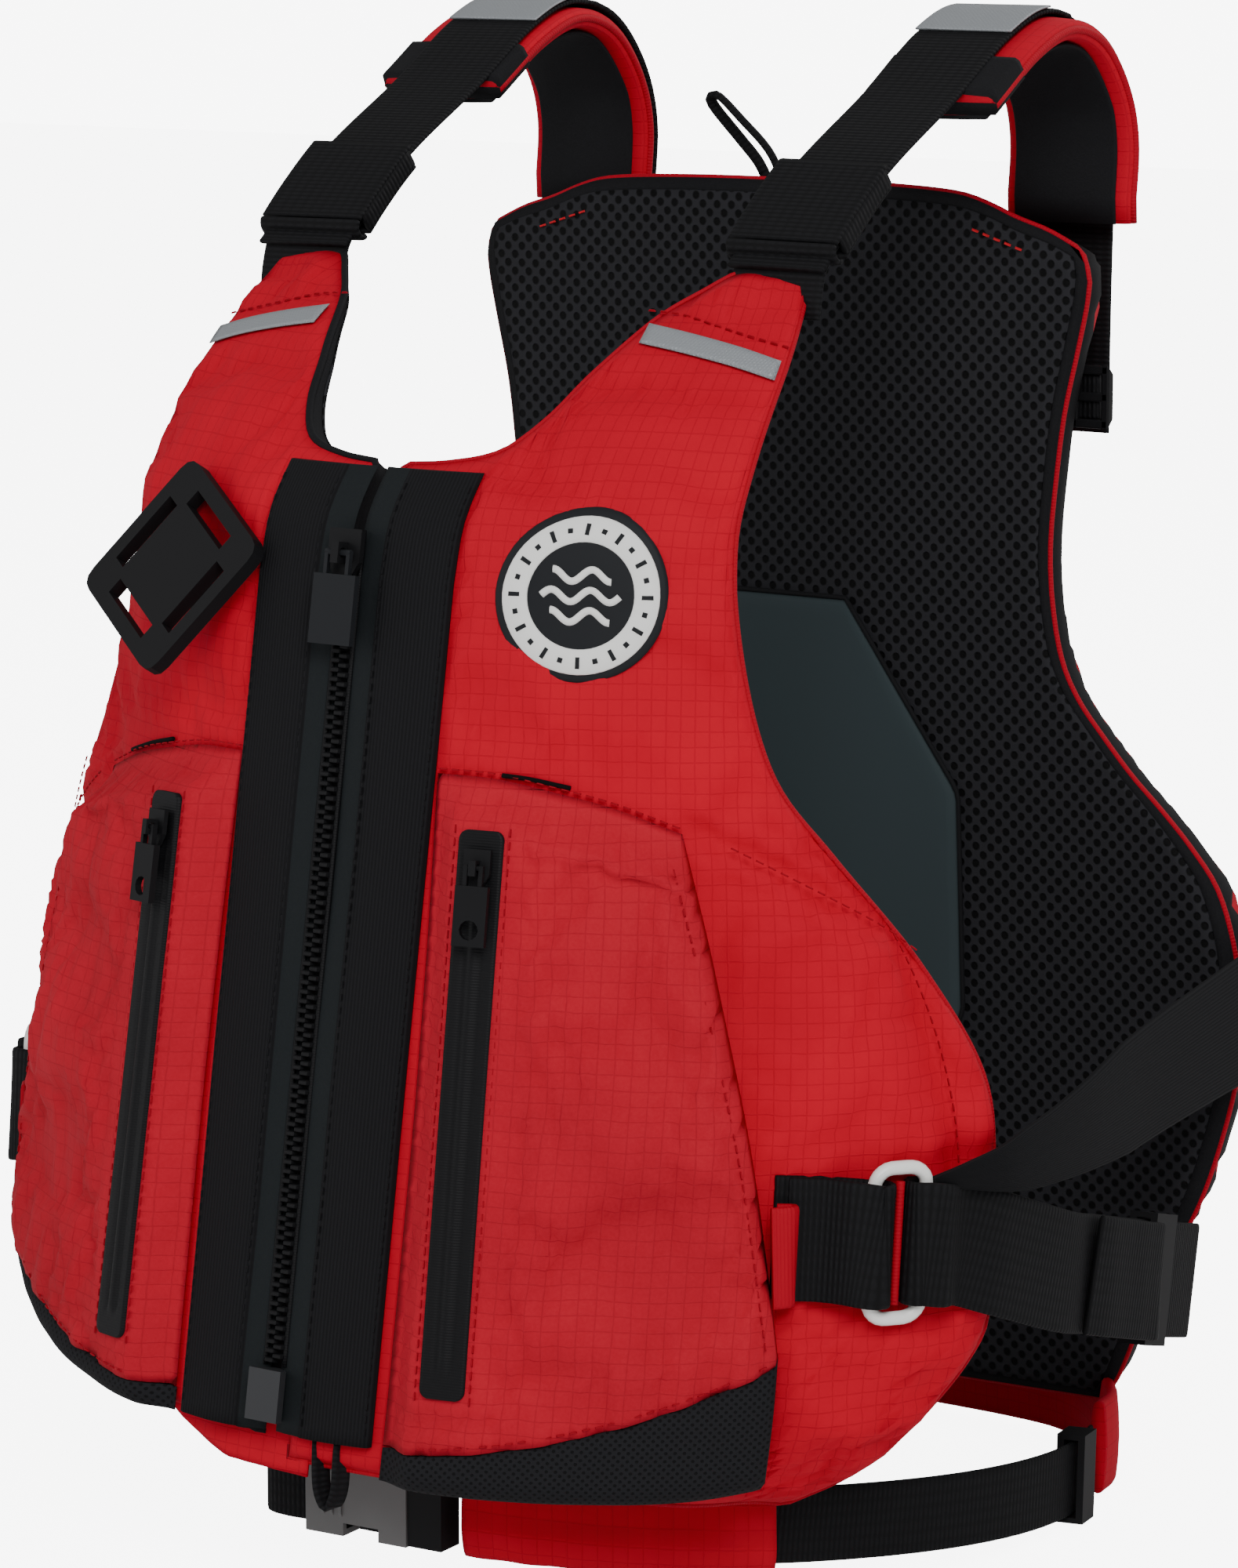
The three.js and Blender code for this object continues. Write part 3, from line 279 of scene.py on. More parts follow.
def strap(name, path, width, thickness, material, across=(0, 0, 1), crown=0.0, sag=None):
    """A flat strap with rounded edges along a path, closed at both ends."""
    path = np.asarray(path, float)
    wide, face = frames_along(path, across)
    half, deep = width / 2, thickness / 2
    soft = min(deep, 1.2)
    shape = [(-half, 0.0), (-half + soft * 0.4, -deep * 0.75), (-half + soft * 1.5, -deep)]
    shape += [(half * k, -deep) for k in (-0.5, 0.0, 0.5)]
    shape += [(half - soft * 1.5, -deep), (half - soft * 0.4, -deep * 0.75), (half, 0.0)]
    shape += [(x, -y) for x, y in reversed(shape[1:-1])]
    ring = len(shape)
    widths = np.ones(len(path)) if sag is None else sag
    points, uv = [], []
    length = np.concatenate([[0], np.cumsum(np.linalg.norm(np.diff(path, axis=0), axis=1))])
    for i, centre in enumerate(path):
        for x, y in shape:
            bulge = crown * (1 - (x / half) ** 2) * (1 if y > 0 else -1 if y < 0 else 0)
            points.append(centre + wide[i] * x * widths[i] + face[i] * (y + bulge))
            uv.append((x * MM, length[i] * MM))
    faces = [(i * ring + k, i * ring + (k + 1) % ring, (i + 1) * ring + (k + 1) % ring, (i + 1) * ring + k)
             for i in range(len(path) - 1) for k in range(ring)]
    faces.append(tuple(range(ring))[::-1])
    faces.append(tuple((len(path) - 1) * ring + k for k in range(ring)))
    points = np.array(points)
    return new_mesh(name, points, outward(points, faces), material, uv)


def tube(name, path, radius, material, closed=False, sides=8, flat=1.0, across=(0, 0, 1)):
    """A round or flattened cord along a path in millimetres."""
    path = np.asarray(path, float)
    count = len(path)
    if closed:
        along = np.roll(path, -1, 0) - np.roll(path, 1, 0)
    else:
        along = np.gradient(path, axis=0)
    along /= np.maximum(np.linalg.norm(along, axis=1)[:, None], 1e-9)
    wide = np.zeros_like(path)
    last = np.asarray(across, float)
    for i in range(count):
        guide = last - (last @ along[i]) * along[i]
        if np.linalg.norm(guide) < 1e-3:
            guide = np.cross(along[i], (1.0, 0.3, 0.2))
        wide[i] = guide / np.linalg.norm(guide)
        last = wide[i]
    face = np.cross(along, wide)
    turn = np.linspace(0, 2 * math.pi, sides, endpoint=False)
    points = [path[i] + wide[i] * radius * math.cos(a) + face[i] * radius * flat * math.sin(a)
              for i in range(count) for a in turn]
    length = np.concatenate([[0], np.cumsum(np.linalg.norm(np.diff(path, axis=0), axis=1))])
    uv = [(k * radius * MM, length[i] * MM) for i in range(count) for k in range(sides)]
    spans = count if closed else count - 1
    faces = [(i * sides + k, i * sides + (k + 1) % sides,
              (i + 1) % count * sides + (k + 1) % sides, (i + 1) % count * sides + k)
             for i in range(spans) for k in range(sides)]
    if not closed:
        faces.append(tuple(range(sides))[::-1])
        faces.append(tuple((count - 1) * sides + k for k in range(sides)))
    points = np.array(points)
    return new_mesh(name, points, outward(points, faces), material, uv)


def blocks(name, places, size, material):
    """Many small blocks in one mesh: each place is (centre, along, face) in millimetres."""
    points, faces = [], []
    long, wide, tall = size
    for centre, along, face in places:
        along = np.asarray(along, float) / np.linalg.norm(along)
        face = np.asarray(face, float) - (np.asarray(face, float) @ along) * along
        face /= np.linalg.norm(face)
        across = np.cross(face, along)
        start = len(points)
        for sz, taper in ((-0.5, 1.0), (0.5, 0.7)):
            for sx, sy in ((-1, -1), (1, -1), (1, 1), (-1, 1)):
                points.append(centre + along * sx * long / 2 * taper + across * sy * wide / 2 * taper
                              + face * sz * tall)
        faces += [(start + 3, start + 2, start + 1, start), (start + 4, start + 5, start + 6, start + 7)]
        faces += [(start + k, start + (k + 1) % 4, start + 4 + (k + 1) % 4,
                   start + 4 + k) for k in range(4)]
    return new_mesh(name, np.array(points), faces, material, smooth=False)


def stitches(name, line, face_of, pitch=4.2, length=2.7, thick=0.55, material="dark_thread", lift=0.2):
    """A row of stitches along a line; `face_of` gives the outward direction at a point."""
    line = np.asarray(line, float)
    total = float(np.linalg.norm(np.diff(line, axis=0), axis=1).sum())
    steps = max(int(total / pitch), 2)
    spots = resample(line, steps * 2, smooth=False)
    places = []
    for i in range(1, steps * 2, 2):
        face = face_of(spots[i])
        places.append((spots[i] + face * lift, spots[i + 1] - spots[i - 1], face))
    return blocks(name, places, (length, thick, thick), material)


def front_face(point):
    """The outward direction of the front at a point in millimetres."""
    z = point[2]
    direction = np.array([point[0] / float(front_width(z)) ** 2, point[1] / float(front_depth(z)) ** 2,
                          0.0])
    direction /= np.linalg.norm(direction)
    direction[2] = -float(front_depth(z + 4) - front_depth(z - 4)) / 8
    return direction / np.linalg.norm(direction)


def bevel(thing, width, segments=2):
    edge = thing.modifiers.new("Rounded edges", "BEVEL")
    edge.width = width * MM
    edge.segments = segments
    edge.limit_method = "ANGLE"
    edge.angle_limit = math.radians(35)
    return thing


def puff(things, frames=14):
    """Swells soft pieces with a cloth simulation and keeps the result.

    Each is (piece, how far a point may move, which points stay put, pressure, extra cloth)."""
    if not things:
        return
    scene = bpy.context.scene
    rest = {}
    for thing, reach, pins, pressure, extra in things:
        group = thing.vertex_groups.new(name="Held")
        for weight in sorted(set(np.round(pins, 2))):
            chosen = [int(i) for i in np.flatnonzero(np.round(pins, 2) == weight)]
            group.add(chosen, float(weight), "REPLACE")
        cloth = thing.modifiers.new("Cloth", "CLOTH")
        settings = cloth.settings
        settings.quality = 5
        settings.mass = 0.2
        settings.tension_stiffness = 12
        settings.compression_stiffness = 12
        settings.bending_stiffness = 0.3
        settings.vertex_group_mass = "Held"
        settings.pin_stiffness = 2.0
        settings.use_pressure = True
        settings.uniform_pressure_force = pressure
        settings.shrink_min = -extra
        settings.effector_weights.gravity = 0.0
        cloth.collision_settings.use_collision = False
        cloth.point_cache.frame_start = 1
        cloth.point_cache.frame_end = frames
        co = np.zeros(len(thing.data.vertices) * 3)
        thing.data.vertices.foreach_get("co", co)
        rest[thing.name] = co.reshape(-1, 3).copy()
    scene.frame_end = max(scene.frame_end, frames)
    for frame in range(1, frames + 1):
        scene.frame_set(frame)
    graph = bpy.context.evaluated_depsgraph_get()
    settled = {}
    for thing, reach, _pins, _pressure, _extra in things:
        data = thing.evaluated_get(graph).to_mesh()
        co = np.zeros(len(data.vertices) * 3)
        data.vertices.foreach_get("co", co)
        settled[thing.name] = co.reshape(-1, 3).copy()
        thing.evaluated_get(graph).to_mesh_clear()
    for thing, reach, _pins, _pressure, _extra in things:
        thing.modifiers.clear()
        move = settled[thing.name] - rest[thing.name]
        size = np.linalg.norm(move, axis=1)
        cap = reach * MM
        scale = np.where(size > cap, cap / np.maximum(size, 1e-9), 1.0)
        if not np.isfinite(move).all():
            raise RuntimeError(f"{thing.name} did not settle")
        thing.data.vertices.foreach_set("co", (rest[thing.name] + move * scale[:, None]).ravel())
        thing.data.update()
    scene.frame_set(1)


# ---- Shader node groups -------------------------------------------------------------------
def node_group(name, inputs, outputs):
    """A shader group with named inputs (name, default) and named float outputs."""
    tree = bpy.data.node_groups.new(name, "ShaderNodeTree")
    for label, default in inputs:
        socket = tree.interface.new_socket(label, in_out="INPUT", socket_type="NodeSocketFloat")
        socket.default_value = default
    for label in outputs:
        tree.interface.new_socket(label, in_out="OUTPUT", socket_type="NodeSocketFloat")
    return tree, tree.nodes.new("NodeGroupInput"), tree.nodes.new("NodeGroupOutput")


def calc(tree, operation, first, second=None, clamp=False):
    """A Math node on sockets or numbers; returns its result."""
    node = tree.nodes.new("ShaderNodeMath")
    node.operation = operation
    node.use_clamp = clamp
    for socket, value in zip(node.inputs, (first, second)):
        if value is None:
            continue
        if isinstance(value, bpy.types.NodeSocket):
            tree.links.new(value, socket)
        else:
            socket.default_value = value
    return node.outputs[0]


def cloth_axes(tree):
    """The cloth's own two directions, in metres."""
    place = tree.nodes.new("ShaderNodeUVMap")
    place.uv_map = "cloth"
    split = tree.nodes.new("ShaderNodeSeparateXYZ")
    tree.links.new(place.outputs["UV"], split.inputs[0])
    return place.outputs["UV"], split.outputs["X"], split.outputs["Y"]


def build_ripstop_group():
    tree, given, out = node_group("Ripstop Grid", [("Cell", 0.0045), ("Line", 0.16)], ["Line", "Height"])
    _uv, u, v = cloth_axes(tree)
    lines = []
    for axis in (u, v):
        phase = calc(tree, "FRACT", calc(tree, "DIVIDE", axis, given.outputs["Cell"]))
        near = calc(tree, "MULTIPLY", calc(tree, "ABSOLUTE", calc(tree, "SUBTRACT", phase, 0.5)), 2.0)
        start = calc(tree, "SUBTRACT", 1.0, given.outputs["Line"])
        over = calc(tree, "SUBTRACT", near, start)
        lines.append(calc(tree, "DIVIDE", over, given.outputs["Line"], clamp=True))
    mask = calc(tree, "MAXIMUM", lines[0], lines[1])
    tree.links.new(mask, out.inputs["Line"])
    tree.links.new(mask, out.inputs["Height"])
    return tree


def build_rib_group():
    tree, given, out = node_group("Ribbing", [("Pitch", 0.0018), ("Along", 0.0)], ["Shade", "Height"])
    _uv, u, v = cloth_axes(tree)
    keep = calc(tree, "SUBTRACT", 1.0, given.outputs["Along"])
    axis = calc(tree, "ADD", calc(tree, "MULTIPLY", u, keep),
                calc(tree, "MULTIPLY", v, given.outputs["Along"]))
    turns = calc(tree, "MULTIPLY", calc(tree, "DIVIDE", axis, given.outputs["Pitch"]), 2 * math.pi)
    wave = calc(tree, "MULTIPLY", calc(tree, "ADD", calc(tree, "SINE", turns), 1.0), 0.5)
    tree.links.new(wave, out.inputs["Shade"])
    tree.links.new(wave, out.inputs["Height"])
    return tree


def build_mesh_group():
    tree, given, out = node_group("Open Mesh", [("Pitch", 0.0042), ("Hole", 0.36)], ["Hole", "Height"])
    _uv, u, v = cloth_axes(tree)
    parts = []
    for axis in (calc(tree, "ADD", u, v), calc(tree, "SUBTRACT", u, v)):
        phase = calc(tree, "FRACT", calc(tree, "DIVIDE", axis, given.outputs["Pitch"]))
        off = calc(tree, "SUBTRACT", phase, 0.5)
        parts.append(calc(tree, "MULTIPLY", off, off))
    reach = calc(tree, "SQRT", calc(tree, "ADD", parts[0], parts[1]))
    hole = calc(tree, "MULTIPLY", calc(tree, "SUBTRACT", given.outputs["Hole"], reach), 8.0, clamp=True)
    tree.links.new(hole, out.inputs["Hole"])
    tree.links.new(calc(tree, "SUBTRACT", 1.0, hole), out.inputs["Height"])
    return tree


def build_wear_group():
    tree, given, out = node_group("Uneven Dye", [("Size", 60.0), ("Fine", 900.0)], ["Shade", "Fleck"])
    place = tree.nodes.new("ShaderNodeTexCoord")
    for label, given_name, detail in (("Shade", "Size", 4.0), ("Fleck", "Fine", 2.0)):
        cloud = tree.nodes.new("ShaderNodeTexNoise")
        cloud.inputs["Detail"].default_value = detail
        tree.links.new(place.outputs["Object"], cloud.inputs["Vector"])
        tree.links.new(given.outputs[given_name], cloud.inputs["Scale"])
        tree.links.new(cloud.outputs["Fac"], out.inputs[label])
    return tree


GROUPS = {}
MATERIALS = {}


def use_group(tree, name, **values):
    node = tree.nodes.new("ShaderNodeGroup")
    node.node_tree = GROUPS[name]
    for key, value in values.items():
        node.inputs[key].default_value = value
    return node


def ramp(tree, amount, low, high):
    """Mixes two colours by a mask."""
    mix = tree.nodes.new("ShaderNodeMix")
    mix.data_type = "RGBA"
    tree.links.new(amount, mix.inputs[0])
    for socket, value in ((mix.inputs[6], low), (mix.inputs[7], high)):
        if isinstance(value, bpy.types.NodeSocket):
            tree.links.new(value, socket)
        else:
            socket.default_value = (*value, 1.0)
    return mix.outputs[2]


def surface(name, color, roughness, **finish):
    """A plain material; returns it with its tree and shader."""
    made = bpy.data.materials.new(name)
    made.use_nodes = True
    shader = made.node_tree.nodes["Principled BSDF"]
    shader.inputs["Base Color"].default_value = (*color, 1.0)
    shader.inputs["Roughness"].default_value = roughness
    shader.inputs["Specular IOR Level"].default_value = 0.14 if roughness > 0.54 else 0.3
    for label, value in finish.items():
        shader.inputs[label.replace("_", " ")].default_value = value
    made.diffuse_color = (*color, 1.0)
    MATERIALS[name] = made
    return made, made.node_tree, shader


def raise_surface(tree, shader, height, distance, strength=1.0):
    bump = tree.nodes.new("ShaderNodeBump")
    bump.inputs["Strength"].default_value = strength
    bump.inputs["Distance"].default_value = distance
    tree.links.new(height, bump.inputs["Height"])
    tree.links.new(bump.outputs["Normal"], shader.inputs["Normal"])


def dyed(tree, color, dark, size, share=1.0):
    """A colour that drifts towards a darker one, as dyed cloth does."""
    wear = use_group(tree, "Uneven Dye", Size=size)
    spread = calc(tree, "MULTIPLY", calc(tree, "SUBTRACT", wear.outputs["Shade"], 0.35), 2.2 * share,
                  clamp=True)
    return ramp(tree, spread, color, dark), wear


def build_materials(colors):
    GROUPS["Ripstop Grid"] = build_ripstop_group()
    GROUPS["Ribbing"] = build_rib_group()
    GROUPS["Open Mesh"] = build_mesh_group()
    GROUPS["Uneven Dye"] = build_wear_group()
    red = tuple(colors.shell)
    deep = tuple(c * 0.72 for c in red)
    black = tuple(colors.trim)

    for name, light, dark, cell, line, bright in (
            ("red_ripstop", red, deep, 0.0048, 0.13, 0.70),
            ("pocket_ripstop", (red[0] * 0.86, 0.005, 0.018), (red[0] * 0.50, 0.002, 0.009), 0.0048, 0.12,
             0.70)):
        _made, tree, shader = surface(name, light, 0.78)
        tone, wear = dyed(tree, light, dark, 14.0, 0.75)
        mottle = calc(tree, "MULTIPLY", wear.outputs["Fleck"], 0.3 if name == "pocket_ripstop" else 0.04)
        tone = ramp(tree, mottle, tone, (light[0] * 1.35, light[1] * 3 + 0.008, light[2] * 2 + 0.006))
        grid = use_group(tree, "Ripstop Grid", Cell=cell, Line=line)
        seen = calc(tree, "MULTIPLY", grid.outputs["Line"], 0.28)
        line_tone = ramp(tree, seen, tone, tuple(c * 0.42 for c in light))
        tree.links.new(line_tone, shader.inputs["Base Color"])
        height = calc(tree, "ADD", grid.outputs["Height"],
                      calc(tree, "MULTIPLY", wear.outputs["Fleck"], 0.6))
        raise_surface(tree, shader, height, 0.00012, bright)

    _made, tree, shader = surface("red_binding", deep, 0.7)
    ribs = use_group(tree, "Ribbing", Pitch=0.0012, Along=1.0)
    raise_surface(tree, shader, ribs.outputs["Height"], 0.0001)

    _made, tree, shader = surface("black_cloth", black, 0.8)
    wear = use_group(tree, "Uneven Dye", Size=30.0, Fine=1400.0)
    tone = ramp(tree, wear.outputs["Fleck"], tuple(c * 0.6 for c in black), tuple(c * 1.7 for c in black))
    tree.links.new(tone, shader.inputs["Base Color"])
    raise_surface(tree, shader, wear.outputs["Fleck"], 0.0002, 0.6)

    _made, tree, shader = surface("band_cloth", black, 0.85)
    ribs = use_group(tree, "Ribbing", Pitch=0.0013, Along=0.0)
    tone = ramp(tree, ribs.outputs["Shade"], tuple(c * 0.7 for c in black), tuple(c * 1.4 for c in black))
    tree.links.new(tone, shader.inputs["Base Color"])
    raise_surface(tree, shader, ribs.outputs["Height"], 0.00018)

    _made, tree, shader = surface("webbing", tuple(c * 0.9 for c in black), 0.75)
    ribs = use_group(tree, "Ribbing", Pitch=0.0019, Along=1.0)
    lines = use_group(tree, "Ribbing", Pitch=0.0042, Along=0.0)
    shade = calc(tree, "MULTIPLY", ribs.outputs["Shade"], calc(tree, "ADD", lines.outputs["Shade"], 0.6))
    tone = ramp(tree, shade, tuple(c * 0.45 for c in black), tuple(c * 1.1 for c in black))
    tree.links.new(tone, shader.inputs["Base Color"])
    raise_surface(tree, shader, shade, 0.0002)

    _made, tree, shader = surface("open_mesh", black, 0.8)
    holes = use_group(tree, "Open Mesh", Pitch=0.0062, Hole=0.38)
    # Painted shade: the holes are coloured far darker than the thread, for the shade inside them.
    tone = ramp(tree, holes.outputs["Hole"], tuple(c * 2.9 for c in black), tuple(c * 0.12 for c in black))
    tree.links.new(tone, shader.inputs["Base Color"])
    raise_surface(tree, shader, holes.outputs["Height"], 0.0007)

    _made, tree, shader = surface("fine_mesh", black, 0.85)
    holes = use_group(tree, "Open Mesh", Pitch=0.0026, Hole=0.30)
    # Painted shade: the holes are coloured darker than the thread, for the shade inside them.
    tone = ramp(tree, holes.outputs["Hole"], tuple(c * 1.7 for c in black), tuple(c * 0.5 for c in black))
    tree.links.new(tone, shader.inputs["Base Color"])
    raise_surface(tree, shader, holes.outputs["Height"], 0.0003)

    slate = (0.0085, 0.0107, 0.0120)
    _made, tree, shader = surface("slate_cloth", slate, 0.8)
    wear = use_group(tree, "Uneven Dye", Size=20.0, Fine=1500.0)
    tone = ramp(tree, wear.outputs["Fleck"], tuple(c * 0.75 for c in slate), tuple(c * 1.25 for c in slate))
    tree.links.new(tone, shader.inputs["Base Color"])
    raise_surface(tree, shader, wear.outputs["Fleck"], 0.00015, 0.5)

    _made, tree, shader = surface("reflective", (0.25, 0.265, 0.28), 0.42, Metallic=0.25)
    cells = use_group(tree, "Open Mesh", Pitch=0.0016, Hole=0.42)
    raise_surface(tree, shader, cells.outputs["Height"], 0.00008)

    surface("black_plastic", (0.0060, 0.0060, 0.0068), 0.6)
    surface("grey_plastic", (0.115, 0.114, 0.114), 0.5)
    surface("zip_metal", (0.030, 0.031, 0.034), 0.4, Metallic=0.3)
    surface("white_plastic", (0.80, 0.80, 0.77), 0.32, Coat_Weight=0.2)
    surface("rubber", (0.011, 0.012, 0.014), 0.6)
    surface("badge_white", (0.74, 0.74, 0.72), 0.5)
    surface("dark_thread", (0.27, 0.002, 0.010), 0.8)
    surface("black_thread", (0.006, 0.006, 0.007), 0.8)
    surface("red_thread", (0.50, 0.012, 0.02), 0.75)
    _made, tree, shader = surface("zip_tape", tuple(c * 0.8 for c in black), 0.55)
    ribs = use_group(tree, "Ribbing", Pitch=0.0009, Along=1.0)
    raise_surface(tree, shader, ribs.outputs["Height"], 0.00006)
    surface("patch_cloth", (0.030, 0.042, 0.046), 0.8)
    surface("slot_shadow", (0.002, 0.002, 0.002), 0.9)


# ---- Settings -----------------------------------------------------------------------------
class JacketCloth(bpy.types.PropertyGroup):
    """How the cloth of the jacket lies."""
    wrinkle: bpy.props.FloatProperty(name="Wrinkles", description="Height of the folds in the red cloth",
                                     default=1.0, min=0.0, max=3.0)
    fullness: bpy.props.FloatProperty(name="Pocket fullness", description="How far a pocket stands out",
                                      default=10.9, min=2.0, max=12.0)
    swell: bpy.props.FloatProperty(name="Swell", description="Air pressure that fills the padded pieces",
                                   default=2.5, min=0.0, max=10.0)


class JacketColors(bpy.types.PropertyGroup):
    """The jacket's two main colours."""
    shell: bpy.props.FloatVectorProperty(name="Shell", description="Colour of the red ripstop cloth",
                                         subtype="COLOR", size=3, default=(0.48, 0.0003, 0.0155))
    trim: bpy.props.FloatVectorProperty(name="Trim", description="Colour of the black cloth and webbing",
                                        subtype="COLOR", size=3, default=(0.0058, 0.0058, 0.0068))


SOFT = []  # padded pieces waiting to swell: (piece, reach, held points, pressure, extra cloth)


def own(things, body="jacket", replaces=()):
    """Puts pieces on a body and hides the frame nodes that they replace."""
    for thing in things:
        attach(thing, body)
    if replaces:
        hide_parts(*replaces)
    return things


# ---- Front panels -------------------------------------------------------------------------
PANEL_BOTTOM_LINE = [(2, 52), (20, 50), (35, 48), (43.2, 43.8), (52, 38.4)]
PANEL_SIDE_LINE = [(52, 38.4), (58.8, 50), (63.8, 71.8), (67.2, 86), (69.1, 99), (69.3, 124), (69.2, 148),
                   (67.8, 180), (61, 216), (52, 252), (45.7, 280), (42.2, 326), (41.6, 380), (41.5, 433)]
PANEL_NECK_LINE = [(1.6, 372), (7, 373.4), (12.5, 377.5), (16, 388), (18.5, 402), (22.5, 418),
                   (27, 427), (31, 433), (36, 433.5), (41.5, 433)]
# The right panel hangs shorter at its hem.
RAISED_BOTTOM_LINE = [(2, 59), (20, 61), (33, 66), (43, 76), (52, 88)]
RAISED_SIDE_LINE = [(52, 88), (58.8, 91), (64.8, 97), (68.3, 108), (69.3, 124)] + PANEL_SIDE_LINE[6:]
YOKE_SEAM = [(36.3, 263), (41, 257), (46.5, 248), (55.7, 232), (60, 222)]
GUSSET_SEAM = [(49.9, 258), (53.8, 243), (57.2, 229), (61, 201), (63.4, 170), (64.4, 140)]
ANCHOR_SEAM = [(21, 421), (26, 420), (31, 417), (36, 414), (41.2, 411)]
CHEST_BAND_LINE = [(22.3, 414.5), (28, 412), (34.5, 408.5), (40.3, 404.5)]
BELT_HEIGHT = 131


def panel_layers(side):
    bottom = PANEL_BOTTOM_LINE if side > 0 else RAISED_BOTTOM_LINE
    around = PANEL_SIDE_LINE if side > 0 else RAISED_SIDE_LINE
    left = [(float(angle_at(5.4, z)), z) for z in (bottom[0][1], 150, 250, 330, 372)]
    grid = patch(bottom, around, PANEL_NECK_LINE, left, 60, 92)
    degrees, z = grid[..., 0], grid[..., 1]
    edge = line_distance(grid, border(grid))
    tuck = smooth_table(TUCK_TABLE, z) * smoothstep(37, 50, degrees)
    deep = smooth_table(THICKNESS_TABLE, z)
    return grid, degrees, z, edge, tuck, deep


def under_trim(degrees, z):
    """1 where the pocket or the zip band covers the panel, 0 on open cloth."""
    pocket_edge = np.interp(z, [95, 261], [47.5, 36.5])
    pocket = smoothstep(283, 276, z) * smoothstep(pocket_edge + 1.5, pocket_edge - 1.5, degrees)
    band = smoothstep(13.5, 11.5, degrees) * smoothstep(376, 370, z)
    return np.maximum(pocket, band)


def build_front_panel(name, side, settings):
    grid, degrees, z, edge, tuck, deep = panel_layers(side)
    covered = under_trim(degrees, z)
    seams = [YOKE_SEAM, GUSSET_SEAM]
    seam = np.min([line_distance(grid, resample(s, 20)) for s in seams], axis=0)
    anchor = line_distance(grid, resample(ANCHOR_SEAM, 12))
    open_side = smoothstep(40, 47, degrees) * smoothstep(262, 240, z)
    plump = 4.0 * open_side * rounded(edge, 26) * (1 - np.exp(-(seam / 12) ** 2))
    belt = np.exp(-((z - BELT_HEIGHT) / 30) ** 2) * open_side
    plump = plump * (1 - 0.9 * belt)
    groove = -3.4 * np.exp(-(seam / 4.2) ** 2) - 1.1 * np.exp(-(anchor / 2.6) ** 2)
    band = line_distance(grid, resample(CHEST_BAND_LINE, 18))
    flat = smoothstep(5, 9, band)
    broad = ripple(grid, (60, 110), 3.1 + side) * 1.9
    folds = ripple(grid, (16, 52), 7.7 + side, 3) * 1.8
    pleats = ripple(grid, (42, 10), 12.3 + side, 2) * 2.8
    pleats = pleats * np.exp(-(np.maximum(edge - 4, 0) / 24) ** 2) * smoothstep(50, 60, degrees)
    gathers = ripple(grid, (7, 60), 17.9 + side, 2) * 2.0 * smoothstep(415, 425, z)
    calm = rounded(edge, 10) * (1 - covered) * flat
    skin = plump + groove * (1 - covered) + settings.wrinkle * (broad + folds) * calm * 0.8
    skin = skin + settings.wrinkle * (pleats + gathers) * rounded(edge, 5) * (1 - covered)
    skin = np.where(covered > 0.5, np.minimum(skin, 0.3), skin)
    outer_lift = -3.6 * (1 - rounded(edge, 6)) + skin * rounded(edge, 4) - tuck
    inner_lift = -3.6 - (deep - 3.6) * rounded(edge, 15) - tuck
    outer = front_points(side, degrees, z, outer_lift)
    inner = front_points(side, degrees, z, inner_lift)
    coords = grid_coords(grid)
    cover = pillow(f"front_{name}_cover", outer, inner, coords, "red_ripstop")
    count = grid.shape[0] * grid.shape[1]
    if side < 0:
        cover.data.materials.append(MATERIALS["black_cloth"])
        for face in cover.data.polygons:
            if max(face.vertices) >= count:
                face.material_index = 1
    held = np.ones(len(cover.data.vertices))
    calm = calm * smoothstep(6, 11, band)
    loose = calm * (1 - np.exp(-(seam / 5) ** 2)) * (1 - np.exp(-(anchor / 4) ** 2)) * (1 - 0.9 * belt)
    held[:count] = (1 - np.clip(loose, 0, 1)).ravel()
    held[:count][(edge < 4).ravel() | (covered > 0.2).ravel()] = 1.0
    SOFT.append((cover, 2.6, held, settings.swell, 0.035))

    inset = slice(1, -1)
    lining_lift = inner_lift - 0.9
    lining = front_points(side, degrees, z, lining_lift)
    near = front_points(side, degrees, z, np.minimum(inner_lift - 0.2, lining_lift + 0.7))
    back = slab(f"front_{name}_lining_cloth", lining[inset, inset], near[inset, inset],
                grid_coords(grid[inset, inset]), "open_mesh")
    rim = border(grid)
    rim_points = front_points(side, rim[:, 0], rim[:, 1],
                              -3.9 - smooth_table(TUCK_TABLE, rim[:, 1]) * smoothstep(37, 50, rim[:, 0]))
    rim_points = resample(rim_points, 260, smooth=False)[:-1]
    piping = tube(f"front_{name}_binding", rim_points, 1.0 if side > 0 else 1.4,
                  "red_binding" if side > 0 else "black_cloth", closed=True, sides=6)
    own([cover], replaces=(f"front_{name}_shell", f"front_{name}_foam"))
    own([back], replaces=(f"front_{name}_lining",))
    own([piping])

    face = front_face
    for label, seam_line, lift, steps in (("yoke", YOKE_SEAM[1:], 0.6, 30),
                                          ("gusset", GUSSET_SEAM, 0.9, 30),
                                                ("anchor", ANCHOR_SEAM, 0.2, 20)):
        line = resample(seam_line, steps)
        points = front_points(side, line[:, 0], line[:, 1], lift)
        own([stitches(f"stitch_{label}_{name}", points, face)])


def build_chest_band(name, side):
    line = resample(CHEST_BAND_LINE, 18)
    rows = []
    for drop in (-2.9, -1.5, 0, 1.5, 2.9):
        rows.append(np.stack([line[:, 0], line[:, 1] + drop], axis=1))
    grid = np.array(rows)
    degrees, z = grid[..., 0], grid[..., 1]
    outer = front_points(side, degrees, z, 1.7)
    inner = front_points(side, degrees, z, 0.9)
    band = slab(f"chest_band_{name}", outer, inner, grid_coords(grid), "reflective")
    own([band], replaces=(f"reflective_band_{name}",))


